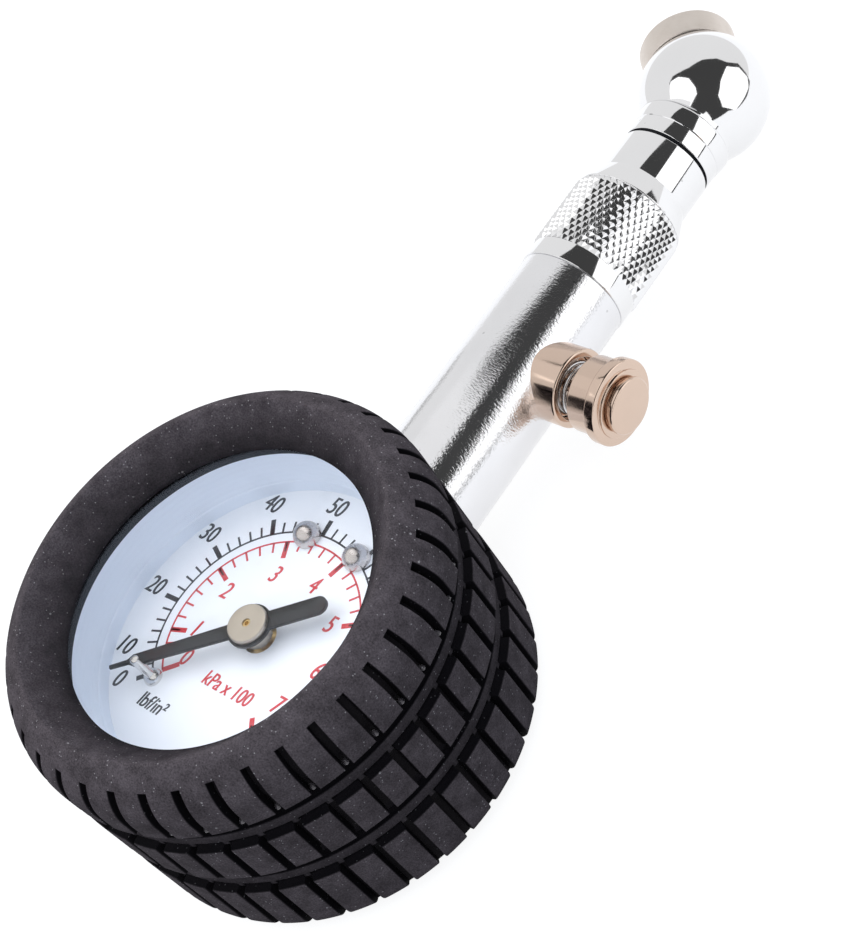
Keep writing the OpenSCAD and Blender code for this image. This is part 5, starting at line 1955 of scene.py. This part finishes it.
KEY = Lamp("key", 2.1, (-0.44, 0.05, 0.9), 90.0, (1.0, 0.975, 0.93))
FILL = Lamp("fill", 0.4, (0.7, -0.55, 0.45), 80.0, (1.0, 0.98, 0.96))


@dataclass
class Studio:
    """Floor, world, cards, lamps and camera."""

    camera_at: Point = (0.13650583, -0.03190189, 0.16901294)
    camera_right: Point = (0.72012128, 0.56202853, -0.40687747)
    camera_down: Point = (0.29167657, -0.77728575, -0.55745102)
    camera_ahead: Point = (-0.62956343, 0.28275572, -0.72367056)
    lens: float = 70.55
    sensor: float = 36.0
    nearest: float = 0.01
    farthest: float = 10.0
    ambient: float = 0.84
    ambient_colour: Colour = (0.84, 0.94, 1.1)
    tent: float = 0.88
    white: Colour = (1.0, 1.0, 1.0)
    floor_half: float = 1.5
    floor_drop: float = 0.0001
    floor_tone: float = 0.2
    floor_glow: float = 0.87

    def camera(self) -> None:
        """Makes the camera at its fitted place."""
        data = bpy.data.cameras.new("camera")
        data.lens = self.lens
        data.sensor_width = self.sensor
        data.clip_start, data.clip_end = self.nearest, self.farthest
        camera = new_object("camera", data)
        right, down, ahead = map(Vector, (self.camera_right, self.camera_down, self.camera_ahead))
        turn = Matrix((right, -down, -ahead)).transposed().to_4x4()
        camera.matrix_world = Matrix.Translation(self.camera_at) @ turn
        bpy.context.scene.camera = camera

    def world(self) -> None:
        """Makes the white background and the tent that metal reflects."""
        world = bpy.data.worlds.new("studio")
        bpy.context.scene.world = world
        world.use_nodes = True
        world.node_tree.nodes.clear()
        nodes = Nodes(world.node_tree)
        rays = nodes.add("ShaderNodeLightPath").outputs
        seen = nodes.math("MAXIMUM", rays["Is Camera Ray"], rays["Is Transmission Ray"])
        tent = nodes.span(rays["Is Glossy Ray"], 0.0, 1.0, self.ambient, self.tent)
        mirrored = nodes.math("MAXIMUM", seen, rays["Is Glossy Ray"])
        colour = nodes.blend(mirrored, self.ambient_colour, self.white)
        strength = nodes.math("MAXIMUM", tent, seen)
        back = nodes.add("ShaderNodeBackground", {"Color": colour, "Strength": strength})
        nodes.add("ShaderNodeOutputWorld", {"Surface": back.outputs[0]})

    def floor(self) -> None:
        """Makes the pale floor, which keeps a soft shadow."""
        work = bmesh.new()
        bmesh.ops.create_grid(work, x_segments=1, y_segments=1, size=self.floor_half)
        bmesh.ops.translate(work, verts=work.verts, vec=(0, 0, -self.floor_drop))
        floor = new_object("floor", new_mesh("floor", work))
        material = blank_material("floor")
        nodes = Nodes(material.node_tree)
        rays = nodes.add("ShaderNodeLightPath").outputs
        mirrored = nodes.math("MAXIMUM", rays["Is Glossy Ray"], rays["Is Transmission Ray"])
        seen = nodes.math("MAXIMUM", rays["Is Camera Ray"], mirrored)
        tone = (self.floor_tone, self.floor_tone, self.floor_tone, 1)
        pale = nodes.add("ShaderNodeBsdfDiffuse", {"Color": tone})
        strength = nodes.math("MULTIPLY", seen, self.floor_glow)
        glow = nodes.add("ShaderNodeEmission", {"Strength": strength})
        both = nodes.add("ShaderNodeAddShader", {0: pale.outputs[0], 1: glow.outputs[0]})
        nodes.add("ShaderNodeOutputMaterial", {"Surface": both.outputs[0]})
        floor.data.materials.append(material)

    def build(self) -> None:
        """Sets up the whole studio."""
        bpy.context.scene.view_settings.view_transform = "Standard"
        self.camera()
        self.world()
        self.floor()
        for piece in (KEY, FILL, *CARDS):
            piece.build()


def main() -> None:
    """Builds every sub-assembly in order."""
    logging.basicConfig(level=logging.INFO, format="%(name)s: %(message)s")
    for part in (Studio(), Boot(), Dial(), Printing(), Needle(), Stem(), Chuck(), BleedValve(),
                 Movement()):
        log.info("building %s", type(part).__name__)
        part.build()


if __name__ == "__main__":
    main()
